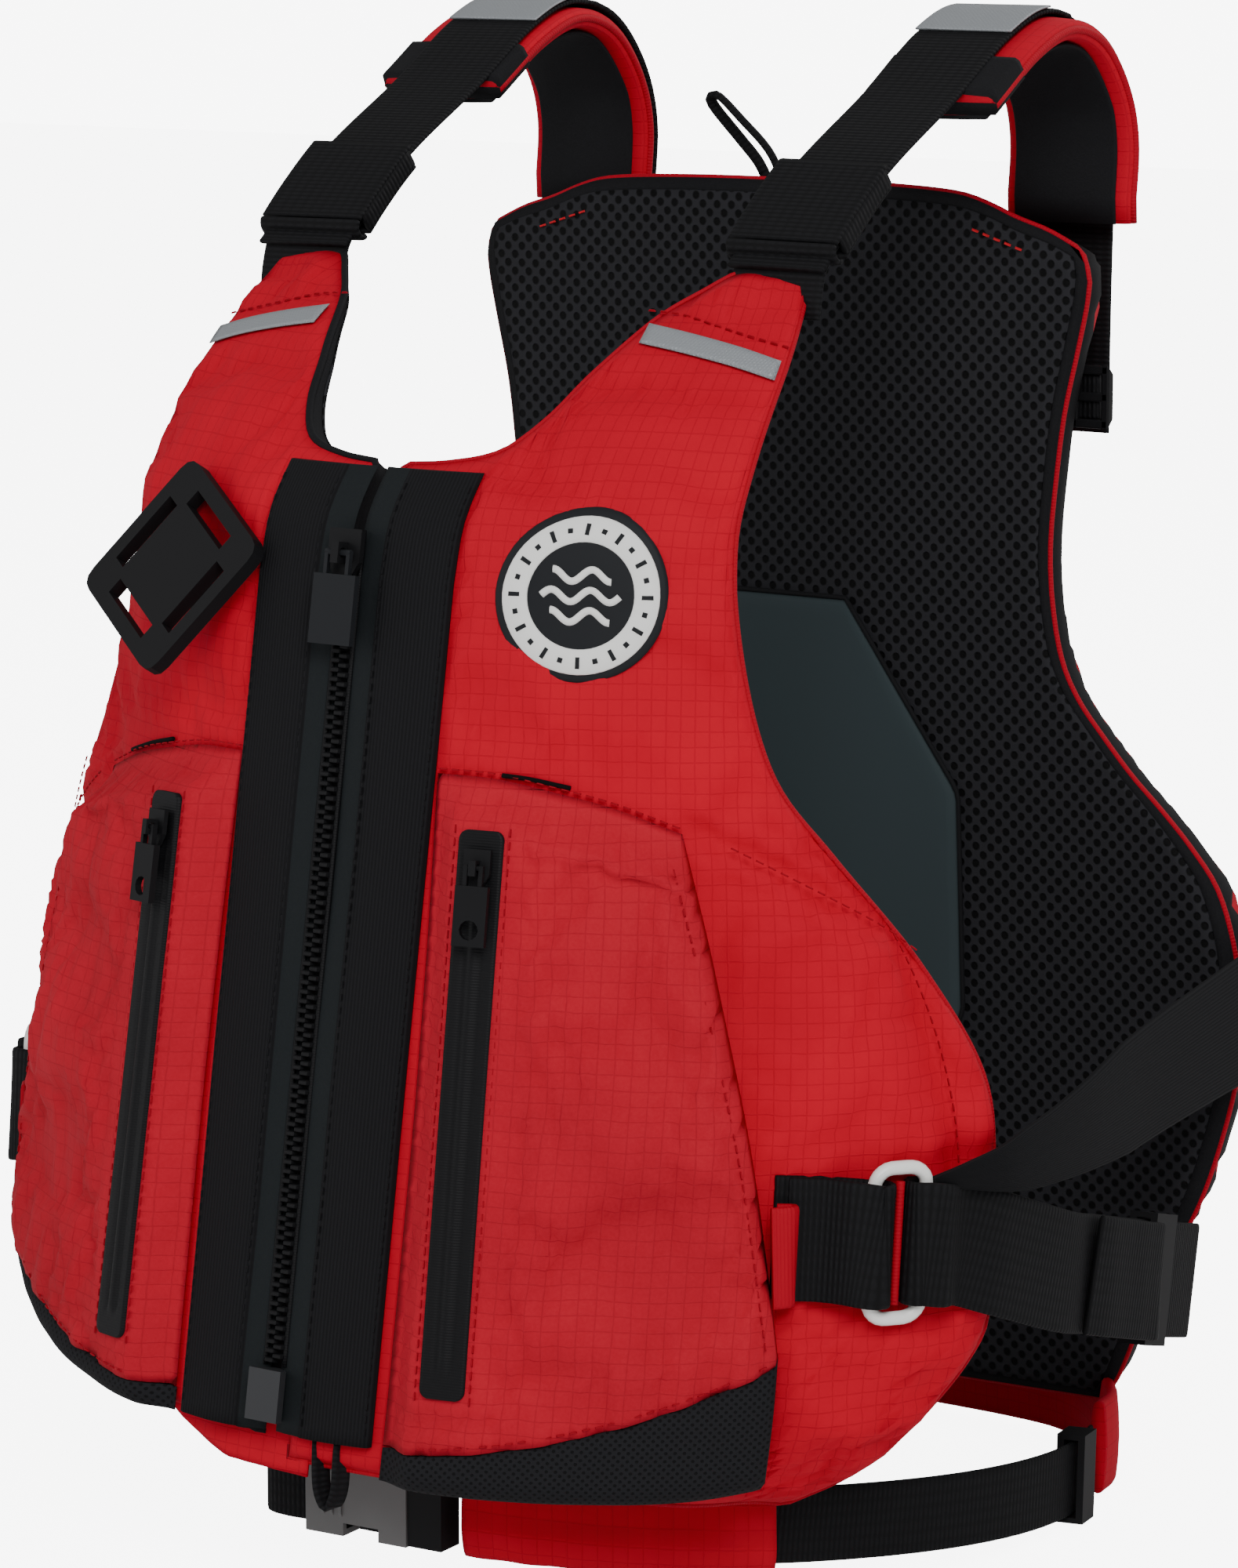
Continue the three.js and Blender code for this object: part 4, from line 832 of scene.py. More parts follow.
class BuildFrontPanels(bpy.types.Operator):
    """Builds the two padded front panels with their linings, seams and reflective bands"""
    bl_idname = "life_jacket.front_panels"
    bl_label = "Front Panels"

    def execute(self, context):
        for name, side in SIDES:
            build_front_panel(name, side, context.scene.jacket_cloth)
            build_chest_band(name, side)
        return {"FINISHED"}


# ---- Zip ----------------------------------------------------------------------------------
def zip_line(degrees, lift, low, high, side=1):
    """Start, direction and outward direction of a straight zip up the front."""
    start = front_points(side, degrees, low, lift)
    end = front_points(side, degrees, min(high, STRAIGHT_TOP), lift)
    up = (end - start) / np.linalg.norm(end - start)
    face = np.array([side * math.sin(math.radians(degrees)) / float(front_width(low)),
                     -math.cos(math.radians(degrees)) / float(front_depth(low)), 0.0])
    face -= (face @ up) * up
    return start, up, face / np.linalg.norm(face), (high - low) / up[2]


def build_zip_band(name, side):
    rows = np.linspace(61, 371.4, 64)
    across = np.array([2.2, 4.4, 6.0, 9, 12.2, 13.0, 17, 21, 25, 29, 33, 36.5, 38.2, 39.0])
    degrees = np.array([[float(angle_at(x, z)) for x in across] for z in rows])
    z = np.repeat(rows[:, None], len(across), axis=1)
    shape = np.interp(across, [2.2, 6.0, 12.2, 12.9, 14, 25, 37, 38.3, 39],
                      [0.5, 1.4, 2.2, 2.9, 3.3, 3.6, 3.2, 2.7, 1.4])
    flutter = np.array([[noise.noise(Vector((x / 40, h / 70, 5.0 + side))) for x in across] for h in rows])
    outer = front_points(side, degrees, z, shape[None, :] + flutter * 0.8)
    inner = front_points(side, degrees, z, np.interp(across, [2.2, 6.0], [0.0, 0.7])[None, :])
    coords = np.stack(np.broadcast_arrays(across[None, :] * MM, z * MM), axis=-1).reshape(-1, 2)
    band = slab(f"zip_band_{name}", outer, inner, coords, "band_cloth")
    band.data.materials.append(MATERIALS["slate_cloth"])
    columns = len(across)
    for face in band.data.polygons:
        spots = [i % (len(rows) * columns) % columns for i in face.vertices]
        if max(spots) <= 4:
            face.material_index = 1
    own([band], replaces=(f"placket_{name}",))
    for x, label in ((13.6, "inner"), (37.2, "outer")):
        line = np.array([front_points(side, float(angle_at(x, h)), h,
                                      3.1) for h in np.linspace(64, 368, 40)])
        own([stitches(f"stitch_band_{label}_{name}", line, front_face, material="black_thread")])


def build_zip_teeth(name, side):
    start, up, face, length = zip_line(0, 0, 82, 352)
    pitch = 3.1
    places = []
    count = int((length - 2) / pitch)
    for i in range(count):
        at = 1.6 + pitch * (i + (0.5 if side > 0 else 0.0))
        centre = start + up * at + face * 2.0 + np.array([side * 1.5, 0, 0])
        places.append((centre, np.array([side * 1.0, 0, 0]), face))
    teeth = blocks(f"zip_teeth_{name}", places, (4.4, 1.9, 2.6), "black_plastic")
    bevel(teeth, 0.25, 1)
    run = np.linspace(0, length, 60)[:, None]
    cord = tube(f"zip_cord_{name}", start + up * run + face * 1.2 + np.array([side * 3.9, 0, 0]), 0.9,
                "zip_tape", sides=6)
    own([teeth], replaces=(f"zip_chain_{name}",))
    own([cord])


class BuildZip(bpy.types.Operator):
    """Builds the front zip's bands and teeth, and rounds its slider, pull and end box"""
    bl_idname = "life_jacket.zip"
    bl_label = "Zip"

    def execute(self, context):
        for name, side in SIDES:
            build_zip_band(name, side)
            build_zip_teeth(name, side)
        for node, material, width in (("zip_box", "zip_metal", 0.9), ("zip_slider", "black_plastic", 0.5),
                                      ("zip_pull", "rubber", 0.6)):
            dress_node(node, material, width)
        start, _up, face, _length = zip_line(0, 0, 82, 352)
        end = start + face * 2
        loop = resample([end + (18, 3, -14), end + (18.5, 1, -26), end + (19.5, 0, -38), end + (23, 0, -44),
                         end + (26.5, 0, -38), end + (27, 1, -26), end + (27, 3, -14)], 34)
        own([strap("zip_end_loop", loop, 7, 1.8, "webbing", across=(0.35, 1, 0))])
        across = np.linspace(-50, 14, 26)
        hem = np.interp(across, [-50, -36, -20, 14], [61, 54, 48.5, 47])
        flap = np.array([[(math.copysign(float(angle_at(abs(x), 56)), x), low + (66 - low) * share)
                          for x, low in zip(across, hem)] for share in np.linspace(0, 1, 8)])
        sway = ripple(flap, (14, 40), 51.0, 2)
        front = front_points(1, flap[..., 0], flap[..., 1], -2.6 + sway)
        rear = front_points(1, flap[..., 0], flap[..., 1], -3.6 + sway)
        own([slab("front_flap", front, rear, grid_coords(flap), "red_ripstop")])
        return {"FINISHED"}


def dress_node(node, material, width, segments=2):
    """Gives a frame node its finish and rounded edges."""
    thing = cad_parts[node]
    thing.data.materials.clear()
    thing.data.materials.append(MATERIALS[material])
    bevel(thing, width, segments)
    return thing


# ---- Pockets ------------------------------------------------------------------------------
def pocket_lines(side):
    """Border lines of a pocket and of its dark lower panel, in degrees and heights."""
    inner, outer = 11.9, 47.0
    seam = [(inner + (outer - inner) * u, 62 + 33 * u ** 1.8) for u in (0, 0.2, 0.4, 0.6, 0.8, 1)]
    if side < 0:
        seam = [(degrees, z + 6) for degrees, z in seam]
    hem = [(inner, 51), (22, 49.5), (32, 49.5), (40, 50.5), (outer, 54)]
    if side < 0:
        hem = [(inner, 60), (22, 62), (32, 68), (40, 78), (outer, 90)]
    top = [(inner, 277), (18, 276.4), (24, 273), (30, 268.5), (36.5, 261)]
    right = [(outer, seam[-1][1]), (44.2, 145), (40.6, 200), (36.5, 261)]
    left = [(inner, seam[0][1]), (inner, 170), (inner, 277)]
    return seam, hem, top, right, left


def build_pocket(name, side, settings):
    seam, hem, top, right, left = pocket_lines(side)
    full = settings.fullness
    grid = patch(seam, right, top, left, 48, 70)
    degrees, z = grid[..., 0], grid[..., 1]
    to_left = line_distance(grid, grid[:, 0])
    to_right = line_distance(grid, grid[:, -1])
    to_top = line_distance(grid, grid[-1])
    to_seam = line_distance(grid, grid[0])
    rise = smoothstep(0, 13, to_left) * smoothstep(0, 17, to_top) * rounded(to_right, 5)
    zip_zone = smoothstep(5.2, 3.0, np.abs(degrees - 18)) * smoothstep(72, 82, z) * smoothstep(272, 262, z)
    drape = ripple(grid, (13, 75), 21.0 + side, 3) * 2.0 + ripple(grid, (40, 70), 25.0 + side) * 1.6
    slant = np.stack([degrees + (z - 160) * 0.10, z], axis=-1)
    drape = drape + ripple(slant, (9, 60), 29.0 + side, 2) * 1.8
    calm = rounded(to_right, 12) * smoothstep(0, 14, to_left) * smoothstep(2, 18, to_top) * (1 - zip_zone)
    lift = 1.2 + full * rise * (1 + 0.03 * zip_zone) + settings.wrinkle * drape * calm
    lift = lift - 0.9 * np.exp(-(to_seam / 2.5) ** 2)
    lift = np.where(zip_zone > 0.3, np.minimum(lift, 12.5), lift)
    lift[:, 0] = lift[:, -1] = lift[-1] = 1.2
    outer = front_points(side, degrees, z, lift)
    inner = front_points(side, degrees, z, np.full_like(lift, 0.9))
    inner[:, 0], inner[:, -1], inner[0], inner[-1] = outer[:, 0], outer[:, -1], outer[0], outer[-1]
    bag = pillow(f"pocket_{name}_cloth", outer, inner, grid_coords(grid), "pocket_ripstop")
    count = grid.shape[0] * grid.shape[1]
    held = np.ones(len(bag.data.vertices))
    loose = np.clip(calm * smoothstep(1, 12, to_seam), 0, 1)
    held[:count] = (1 - loose).ravel()
    SOFT.append((bag, 3.0, held, settings.swell * 0.8, 0.05))

    low = patch(hem, [right[0], (hem[-1][0], hem[-1][1])][::-1], [(d, h - 0.5) for d, h in seam],
                [hem[0], (seam[0][0], seam[0][1] - 0.5)], 48, 14, smooth=(True, False, True, False))
    degrees, z = low[..., 0], low[..., 1]
    to_hem = line_distance(low, low[0])
    to_right = line_distance(low, low[:, -1])
    to_left = line_distance(low, low[:, 0])
    to_top = line_distance(low, low[-1])
    shape = smoothstep(0, 13, to_left) * rounded(to_right, 5)
    lift = 1.2 + full * 0.96 * shape * rounded(to_hem + 1.5,
                                               9) + ripple(low, (22, 30), 33.0 + side) * 0.6 * shape
    lift = lift - 0.8 * np.exp(-(to_top / 2.0) ** 2)
    lift[:, 0] = lift[:, -1] = 1.2
    outer = front_points(side, degrees, z, lift)
    inner = front_points(side, degrees, z, np.full_like(lift, 0.9))
    base = slab(f"pocket_base_{name}_cloth", outer, inner, grid_coords(low), "fine_mesh")
    own([bag], replaces=(f"pocket_{name}",))
    own([base], replaces=(f"pocket_base_{name}",))

    face = front_face
    top_line = resample(top, 30)
    above = front_points(side, top_line[:, 0], top_line[:, 1] + 1.6, 1.4)
    own([stitches(f"stitch_pocket_top_{name}", above, face)])
    right_line = resample(right, 40)[1:-2]
    beside = front_points(side, right_line[:, 0] - 1.6, right_line[:, 1], full + 1.3)
    own([stitches(f"stitch_pocket_edge_{name}", beside, face)])
    seam_line = resample(seam, 36)[3:-2]
    under = front_points(side, seam_line[:, 0], seam_line[:, 1] + 2.4, full + 1.2)
    own([stitches(f"stitch_pocket_seam_{name}", under, face)])
    slit = [(18.6, 277.6), (21.5, 276.8),
            (25.5, 274.6)] if side > 0 else [(23.5, 276), (27.5, 273), (32.0, 268.6)]
    slit = resample(slit, 14)
    gap = front_points(side, slit[:, 0], slit[:, 1], 1.2)
    own([tube(f"pocket_slit_{name}", gap, 0.8, "slot_shadow", sides=6)])


def build_pocket_zip(name, side):
    start, up, face, length = zip_line(18, 12.8, 82, 262, side)
    wide = np.cross(up, face)
    half = 7.5
    rows = np.concatenate([np.linspace(0, 1, 9)[:-1] ** 2 * half, np.linspace(half, length - half, 60),
                           length - (np.linspace(1, 0, 9)[1:]) ** 2 * half])
    columns = np.linspace(-1, 1, 13)
    points, backs, uv = [], [], []
    for at in rows:
        end = min(at, length - at)
        reach = half - 3.2 + 3.2 * math.sqrt(max(1 - (1 - min(end / 3.2, 1)) ** 2, 0.02))
        line, under = [], []
        for c in columns:
            x = c * reach
            ridge = 0.7 * math.exp(-(x / 1.7) ** 2) * (1 if end > 9 else 0)
            flute = -0.7 * math.exp(-((abs(x) - 2.6) / 0.7) ** 2) * (1 if end > 9 else 0)
            line.append(start + up * at + wide * x + face * (0.9 + ridge + flute))
            under.append(start + up * at + wide * x - face * 2.6)
            uv.append((x * MM, at * MM))
        points.append(line)
        backs.append(under)
    tape = slab(f"pocket_zip_{name}_tape", np.array(points), np.array(backs), uv, "zip_tape")
    own([tape], replaces=(f"pocket_zip_{name}",))
    beside = half + 1.8
    outline = [start + up * at + wide * beside + face * -0.2 for at in np.linspace(-2, length + 2, 70)]
    other = [p - wide * 2 * beside for p in outline]
    own([stitches(f"stitch_zip_a_{name}", outline, lambda p: face),
         stitches(f"stitch_zip_b_{name}", other, lambda p: face)])
    dress_node(f"pocket_{name}_slider", "black_plastic", 0.45)
    dress_node(f"pocket_{name}_pull", "black_plastic", 0.5)


class BuildPockets(bpy.types.Operator):
    """Builds the two zipped chest pockets with their dark lower panels"""
    bl_idname = "life_jacket.pockets"
    bl_label = "Pockets"

    def execute(self, context):
        for name, side in SIDES:
            build_pocket(name, side, context.scene.jacket_cloth)
            build_pocket_zip(name, side)
        return {"FINISHED"}


# ---- Chest trim ---------------------------------------------------------------------------
EMBLEM_SPOT = (25.8, 335.5)
EMBLEM_RADIUS = 28


def emblem_point(x, y, lift):
    """A point on the dome of the round emblem; x and y are from its middle, in millimetres."""
    x, y = np.asarray(x, float), np.asarray(y, float)
    z = EMBLEM_SPOT[1] + y * 0.985
    degrees = EMBLEM_SPOT[0] + np.degrees(x / 178.0)
    return front_points(1, degrees, z, lift)


def emblem_disc(name, radii, lifts, base, material, count=56):
    turn = np.linspace(0, 2 * math.pi, count, endpoint=False)
    rings = [emblem_point(r * np.cos(turn), r * np.sin(turn), lift) for r, lift in zip(radii, lifts)]
    rings.append(emblem_point(radii[-1] * np.cos(turn), radii[-1] * np.sin(turn), base))
    rings.append(emblem_point(max(radii[0], 0.01) * np.cos(turn), max(radii[0], 0.01) * np.sin(turn), base))
    points = np.vstack(rings)
    faces = []
    for i in range(len(rings)):
        j = (i + 1) % len(rings)
        if j == 0 and radii[0] < 0.1:
            continue
        faces += [(i * count + k, i * count + (k + 1) % count, j * count + (k + 1) % count, j * count + k)
                  for k in range(count)]
    return new_mesh(name, points, outward(points, faces), material)


class BuildChestTrim(bpy.types.Operator):
    """Builds the round emblem with its plain wave design, and finishes the lash tab"""
    bl_idname = "life_jacket.chest_trim"
    bl_label = "Chest Trim"

    def execute(self, context):
        disc = emblem_disc("emblem_disc", [0.05, 8, 17, 24, 26.6, EMBLEM_RADIUS - 0.2, EMBLEM_RADIUS],
                           [3.4, 3.4, 3.3, 3.1, 2.9, 2.4, 1.9],
                           0.6, "rubber")
        ring = emblem_disc("emblem_ring", [17.1, 17.5, 20.5, 24.9, 25.3], [3.5, 3.85, 3.85, 3.7, 3.3], 2.4,
                           "badge_white")
        own([disc], replaces=("emblem",))
        own([ring])
        face = front_face
        places = []
        for k in range(24):
            a = 2 * math.pi * k / 24
            spot = emblem_point(21.3 * math.cos(a), 21.3 * math.sin(a), 3.95)
            ahead = emblem_point(23.3 * math.cos(a), 23.3 * math.sin(a), 3.95)
            places.append((spot, ahead - spot, face(spot)))
        ticks = blocks("emblem_ticks", places[0::2], (4.0, 1.5, 0.5), "rubber")
        dots = blocks("emblem_dots", places[1::2], (1.8, 1.8, 0.5), "rubber")
        own([ticks, dots])
        waves = []
        for row in (-6.5, 0.0, 6.5):
            reach = 12.5 if row == 0 else 9.5
            xs = np.linspace(-reach, reach, 40)
            line = emblem_point(xs, row + 1.9 * np.sin(xs / 12.5 * 2 * math.pi), 3.5)
            waves.append(tube(f"emblem_wave_{int(row + 10)}", line, 1.25, "badge_white", sides=8, flat=0.5))
        own(waves)
        dress_node("lash_tab", "black_plastic", 0.8, 3)
        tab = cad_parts["lash_tab"]
        middle = sum((v.co for v in tab.data.vertices), Vector()) / len(tab.data.vertices)
        post = [front_points(-1, 22.5, 328, 0.0), np.array(middle) / MM - SHIFT]
        axis = (post[1] - post[0]) / np.linalg.norm(post[1] - post[0])
        foot = tube("lash_tab_foot", [post[0] - axis * 2, post[0] + axis * 3, post[1] - axis * 2.8], 9,
                    "black_plastic",
                    sides=20)
        own([foot])
        return {"FINISHED"}


# ---- Back panel ---------------------------------------------------------------------------
BACK_SIDE_LINE = [(140, 26), (147, 36), (160, 68), (177, 100), (186, 125), (192, 150), (193, 172),
                  (190, 194), (183, 214),
                  (172, 228), (160, 240), (148, 251), (136, 264), (126, 276), (119, 290), (115, 310),
                  (114, 330),
                  (116, 353), (119, 376), (124, 398), (128, 417), (128, 426), (125, 433)]
BACK_TOP_LINE = [(-125, 433), (-112, 439), (-99, 443), (-86, 448), (-72, 451), (-40, 452.5), (0, 452.8),
                 (40, 452.5),
                 (72, 451), (86, 448), (99, 443), (112, 439), (125, 433)]


def back_points(grid, y):
    return np.stack([grid[..., 0], np.broadcast_to(y, grid.shape[:-1]), grid[..., 1]], axis=-1)


class BuildBackPanel(bpy.types.Operator):
    """Builds the padded back panel, its mesh lining, patch, edge binding and hanging loop"""
    bl_idname = "life_jacket.back_panel"
    bl_label = "Back Panel"

    def execute(self, context):
        settings = context.scene.jacket_cloth
        mirrored = [(-x, z) for x, z in BACK_SIDE_LINE]
        bottom = [(-140, 26), (-70, 24.5), (0, 24), (70, 24.5), (140, 26)]
        grid = patch(bottom, BACK_SIDE_LINE, BACK_TOP_LINE, mirrored, 64, 84, smooth=(True,) * 4)
        flat = (1.0, 1.0)
        edge = line_distance(grid, border(grid), flat)
        scaled = grid / np.array([DEGREE, 1.0])
        soft = ripple(scaled, (70, 90), 41.0) * 1.4 + ripple(scaled, (18, 40), 43.0, 3) * 0.7
        spine = np.exp(-(np.abs(grid[..., 0]) / 5) ** 2)
        waist = np.exp(-((grid[..., 1] - 176) / 22) ** 2)
        deep = 33.5 * rounded(edge, 30) - 5.0 * spine * rounded(edge, 20) - 3.0 * waist * rounded(edge, 20)
        outer = back_points(grid, BACK_FACE + 1.5 + deep + settings.wrinkle * soft * rounded(edge,
                                                                                             20) * 0.8)
        inner = back_points(grid, BACK_FACE + 1.5 - 0.6 * rounded(edge, 8))
        coords = grid.reshape(-1, 2) * MM
        cover = pillow("back_cover", outer, inner, coords, "red_ripstop")
        count = grid.shape[0] * grid.shape[1]
        cover.data.materials.append(MATERIALS["black_cloth"])
        for face in cover.data.polygons:
            depth = sum(cover.data.vertices[i].co.y for i in face.vertices) / len(face.vertices)
            if depth / MM - SHIFT[1] < BACK_FACE + 21:
                face.material_index = 1
        held = np.ones(len(cover.data.vertices))
        held[:count] = (1 - np.clip(rounded(edge - 4, 14) * (1 - spine), 0, 1)).ravel()
        SOFT.append((cover, 2.5, held, settings.swell * 0.6, 0.03))
        own([cover], replaces=("back_shell", "back_foam"))

        inset = slice(1, -1)
        dimple = ripple(scaled, (40, 60), 47.0, 2) * 0.5
        front = back_points(grid, BACK_FACE - 0.1 - 0.35 * dimple * rounded(edge,
                                                                            10) + 0.9 * (1 - rounded(edge,
                                                                                                     12)))
        rear = back_points(grid, BACK_FACE + 1.0)
        lining = slab("back_lining_cloth", front[inset, inset], rear[inset, inset],
                      grid[inset, inset].reshape(-1, 2) * MM, "open_mesh")
        own([lining], replaces=("back_lining",))
        rim = resample(back_points(border(grid), BACK_FACE + 3.0), 300, smooth=False)[:-1]
        own([tube("back_binding", rim, 1.1, "red_binding", closed=True, sides=8, across=(0, 1, 0))])

        patch_grid = patch([(-60, 105), (60, 105)], [(60, 105), (83, 160), (80, 239), (32, 305)],
                           [(-32, 305), (32, 305)], [(-60, 105), (-83, 160), (-80, 239), (-32, 305)], 30,
                           40,
                           smooth=(False,) * 4)
        patch_edge = line_distance(patch_grid, border(patch_grid), flat)
        front = back_points(patch_grid, BACK_FACE - 0.9 - 1.1 * rounded(patch_edge, 4))
        rear = back_points(patch_grid, BACK_FACE - 0.3)
        pad = slab("back_patch_cloth", front, rear, patch_grid.reshape(-1, 2) * MM, "patch_cloth")
        rim = resample(back_points(border(patch_grid), BACK_FACE - 1.2), 200, smooth=False)[:-1]
        own([pad], replaces=("back_patch",))
        own([tube("back_patch_edge", rim, 0.9, "black_thread", closed=True, sides=6)])

        loop = resample([(-9, BACK_FACE + 12, 448), (-14, BACK_FACE + 11, 458), (-21, BACK_FACE + 10, 466),
                         (-30, BACK_FACE + 7, 477), (-31, BACK_FACE + 5, 481), (-27, BACK_FACE + 4, 482),
                         (-18, BACK_FACE + 5, 474), (-8, BACK_FACE + 9, 462), (-3, BACK_FACE + 12, 448)],
                        44)
        own([tube("hang_loop_cord", loop, 2.1, "webbing", sides=8, flat=0.7)],
            replaces=("hang_loop",))
        for name, side in SIDES:
            line = resample([(side * 82, BACK_FACE - 0.6, 439), (side * 104, BACK_FACE - 0.6, 432)], 12)
            own([stitches(f"stitch_back_{name}", line, lambda p: np.array([0, -1.0, 0]),
                          material="red_thread",
                          thick=0.8)])
        return {"FINISHED"}


# ---- Shoulders ----------------------------------------------------------------------------
STRAP_ROUTE = [(-(TOP_DEPTH - 9), PANEL_TOP + 2), (-16, PANEL_TOP + 30), (30, 488), (62, 507), (88, 515),
               (112, 509),
               (130, 491), (BACK_OUTER + 6, 469), (BACK_OUTER + 4, 440), (BACK_OUTER + 3, 396),
               (BACK_OUTER + 3, 366)]
STRAP_X = 98
PAD_X = 103


def route_offset(path, depth):
    """Moves a path that lies in a plane of constant X towards its inner side."""
    along = np.gradient(path, axis=0)
    along /= np.linalg.norm(along, axis=1)[:, None]
    return path + np.stack([np.zeros(len(path)), along[:, 2], -along[:, 1]], axis=1) * depth


def build_shoulder(name, side):
    line = resample([(side * STRAP_X, y, z) for y, z in STRAP_ROUTE], 90)
    lean = np.interp(line[:, 2], [433, 470, 515], [0.0, 0.4, 1.0]) * (line[:, 1] < 100)
    line = line + np.stack([side * 1.5 * lean, np.zeros(len(line)), np.zeros(len(line))], axis=1)
    webbing = strap(f"shoulder_webbing_{name}", line, SHOULDER_WEBBING, WEBBING_THICK, "webbing",
                    across=(1, 0, 0))
    own([webbing], replaces=(f"shoulder_strap_{name}",))

    over = np.array([p for i, p in enumerate(line) if p[2] > 448 and i > 26])
    over = resample(over, 46, smooth=False)
    over[:, 0] = side * PAD_X
    over = route_offset(over, 1.4 + 4.6)
    over = np.vstack([over, over[-1] + (0, 0.5, -9)])
    share = np.linspace(0, 1, len(over))
    puffy = strap(f"shoulder_pad_{name}_cover", over, 50, 6.4, "red_ripstop", across=(1, 0, 0), crown=1.3)
    own([puffy], replaces=(f"shoulder_pad_{name}",))
    for edge_side in (-1, 1):
        rim = over + np.array([edge_side * 24.6, 0, 0])
        own([tube(f"shoulder_binding_{name}_{'in' if edge_side < 0 else 'out'}", rim, 1.5, "red_binding",
                  sides=8)])
    under = route_offset(over, 4.9)
    quilt = np.abs(np.sin(share * math.pi * 4))
    under = route_offset(under, 0.5) - (under - over) * 0.12 * (1 - quilt)[:, None]
    own([strap(f"shoulder_lining_{name}_cloth", under, 41, 1.6, "black_cloth", across=(1, 0, 0),
               crown=0.5)],
        replaces=(f"shoulder_lining_{name}",))
    front_end = over[0:7]
    cap = route_offset(front_end, -1.0)
    own([strap(f"shoulder_cap_{name}", resample(cap, 12), 51.5, 9.4, "black_cloth", across=(1, 0, 0),
               crown=0.6)])
    mark = route_offset(line, -1.7)
    mark = mark[np.argmax(line[:, 2]) - 7:np.argmax(line[:, 2]) + 1]
    own([strap(f"shoulder_reflector_{name}", resample(mark, 16), 38.6, 0.9, "reflective",
               across=(1, 0, 0))])

    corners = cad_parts[f"strap_sleeve_{name}"].data.vertices
    middle = np.array(sum((v.co for v in corners), Vector()) / len(corners)) / MM - SHIFT
    near = int(np.argmin(np.linalg.norm(line - middle, axis=1)))
    along = line[near + 2] - line[near - 2]
    along /= np.linalg.norm(along)
    up = np.array([0, -along[2], along[1]]) * (1 if along[1] > 0 else -1)
    wraps = []
    for label, lift, start, end, wide in (("top", 3.3, -19, 19, 43), ("under", -4.4, -17, 17, 42)):
        path = resample([middle + along * t + up * (lift + bend) for t, bend in
                         ((start, 0.2), (start / 2, 0.7), (0, 0.8), (end / 2, 0.6), (end, 0.0))], 16)
        wraps.append(strap(f"strap_sleeve_{name}_{label}", path, wide, 2.2, "webbing", across=(1, 0, 0)))
    for label, edge_side in (("in", -1), ("out", 1)):
        path = resample([middle + along * t + np.array([edge_side * 20.6, 0, 0]) for t in (-17, 0, 17)], 10)
        wraps.append(strap(f"strap_sleeve_{name}_{label}", path, 7.2, 1.8, "webbing",
                           across=(0, -along[2], along[1])))
    fold = [middle + along * -20 + up * (3.4 * math.cos(a)) + along * (-2.4 * math.sin(a))
            for a in np.linspace(0, math.pi, 9)]
    wraps.append(strap(f"strap_sleeve_{name}_fold", fold, 43, 2.2, "webbing", across=(1, 0, 0)))
    own(wraps, body=f"strap_sleeve_{name}", replaces=(f"strap_sleeve_{name}",))
    anchor = resample([line[0] + (0, -2, -16), line[0] + (0, -0.5, -7), line[1] + (0, 0.4, 0),
                       line[5] + (0, 0.3, 0.3)], 14)
    own([strap(f"strap_anchor_{name}", route_offset(anchor, 1.2), 36, 2.4, "webbing", across=(1, 0, 0))])

    spot = np.array([side * 117, BACK_OUTER - 9, 380.0])
    loop = []
    for dz in (-9.5, 0.0, 9.5):
        loop.append((spot + (0, 0, dz), np.array([1.0, 0, 0]), np.array([0, 1.0, 0])))
    bar = bevel(blocks(f"back_adjuster_{name}", loop, (15, 3.4, 4.6), "black_plastic"), 0.7)
    cheeks = [(spot + (dx, 0, 0), np.array([0, 0, 1.0]), np.array([0, 1.0, 0])) for dx in (-6.2, 6.2)]
    sides_of = bevel(blocks(f"back_adjuster_{name}_sides", cheeks, (23, 3.2, 4.6), "black_plastic"), 0.7)
    tab = resample([spot + (side * -22, 3, 2), spot + (side * -8, 1, 0), spot + (side * 3, 0, 0)], 10)
    own([bar, sides_of])
    own([strap(f"back_adjuster_{name}_tab", tab, 16, 1.8, "webbing")])


class BuildShoulders(bpy.types.Operator):
    """Builds the shoulder straps, their pads, sleeves, reflectors and back adjusters"""
    bl_idname = "life_jacket.shoulders"
    bl_label = "Shoulders"

    def execute(self, context):
        for name, side in SIDES:
            build_shoulder(name, side)
        return {"FINISHED"}


# ---- Side belts ---------------------------------------------------------------------------
RING_ANGLE, RING_Z, RING_LIFT = 57, 131, 7.4
RING_HEIGHT, RING_WIDTH, RING_ROD = 52, 20, 4


def rise_at(side, degrees, z):
    up = front_points(side, degrees, z + 20, 0) - front_points(side, degrees, z - 20, 0)
    return up / np.linalg.norm(up)


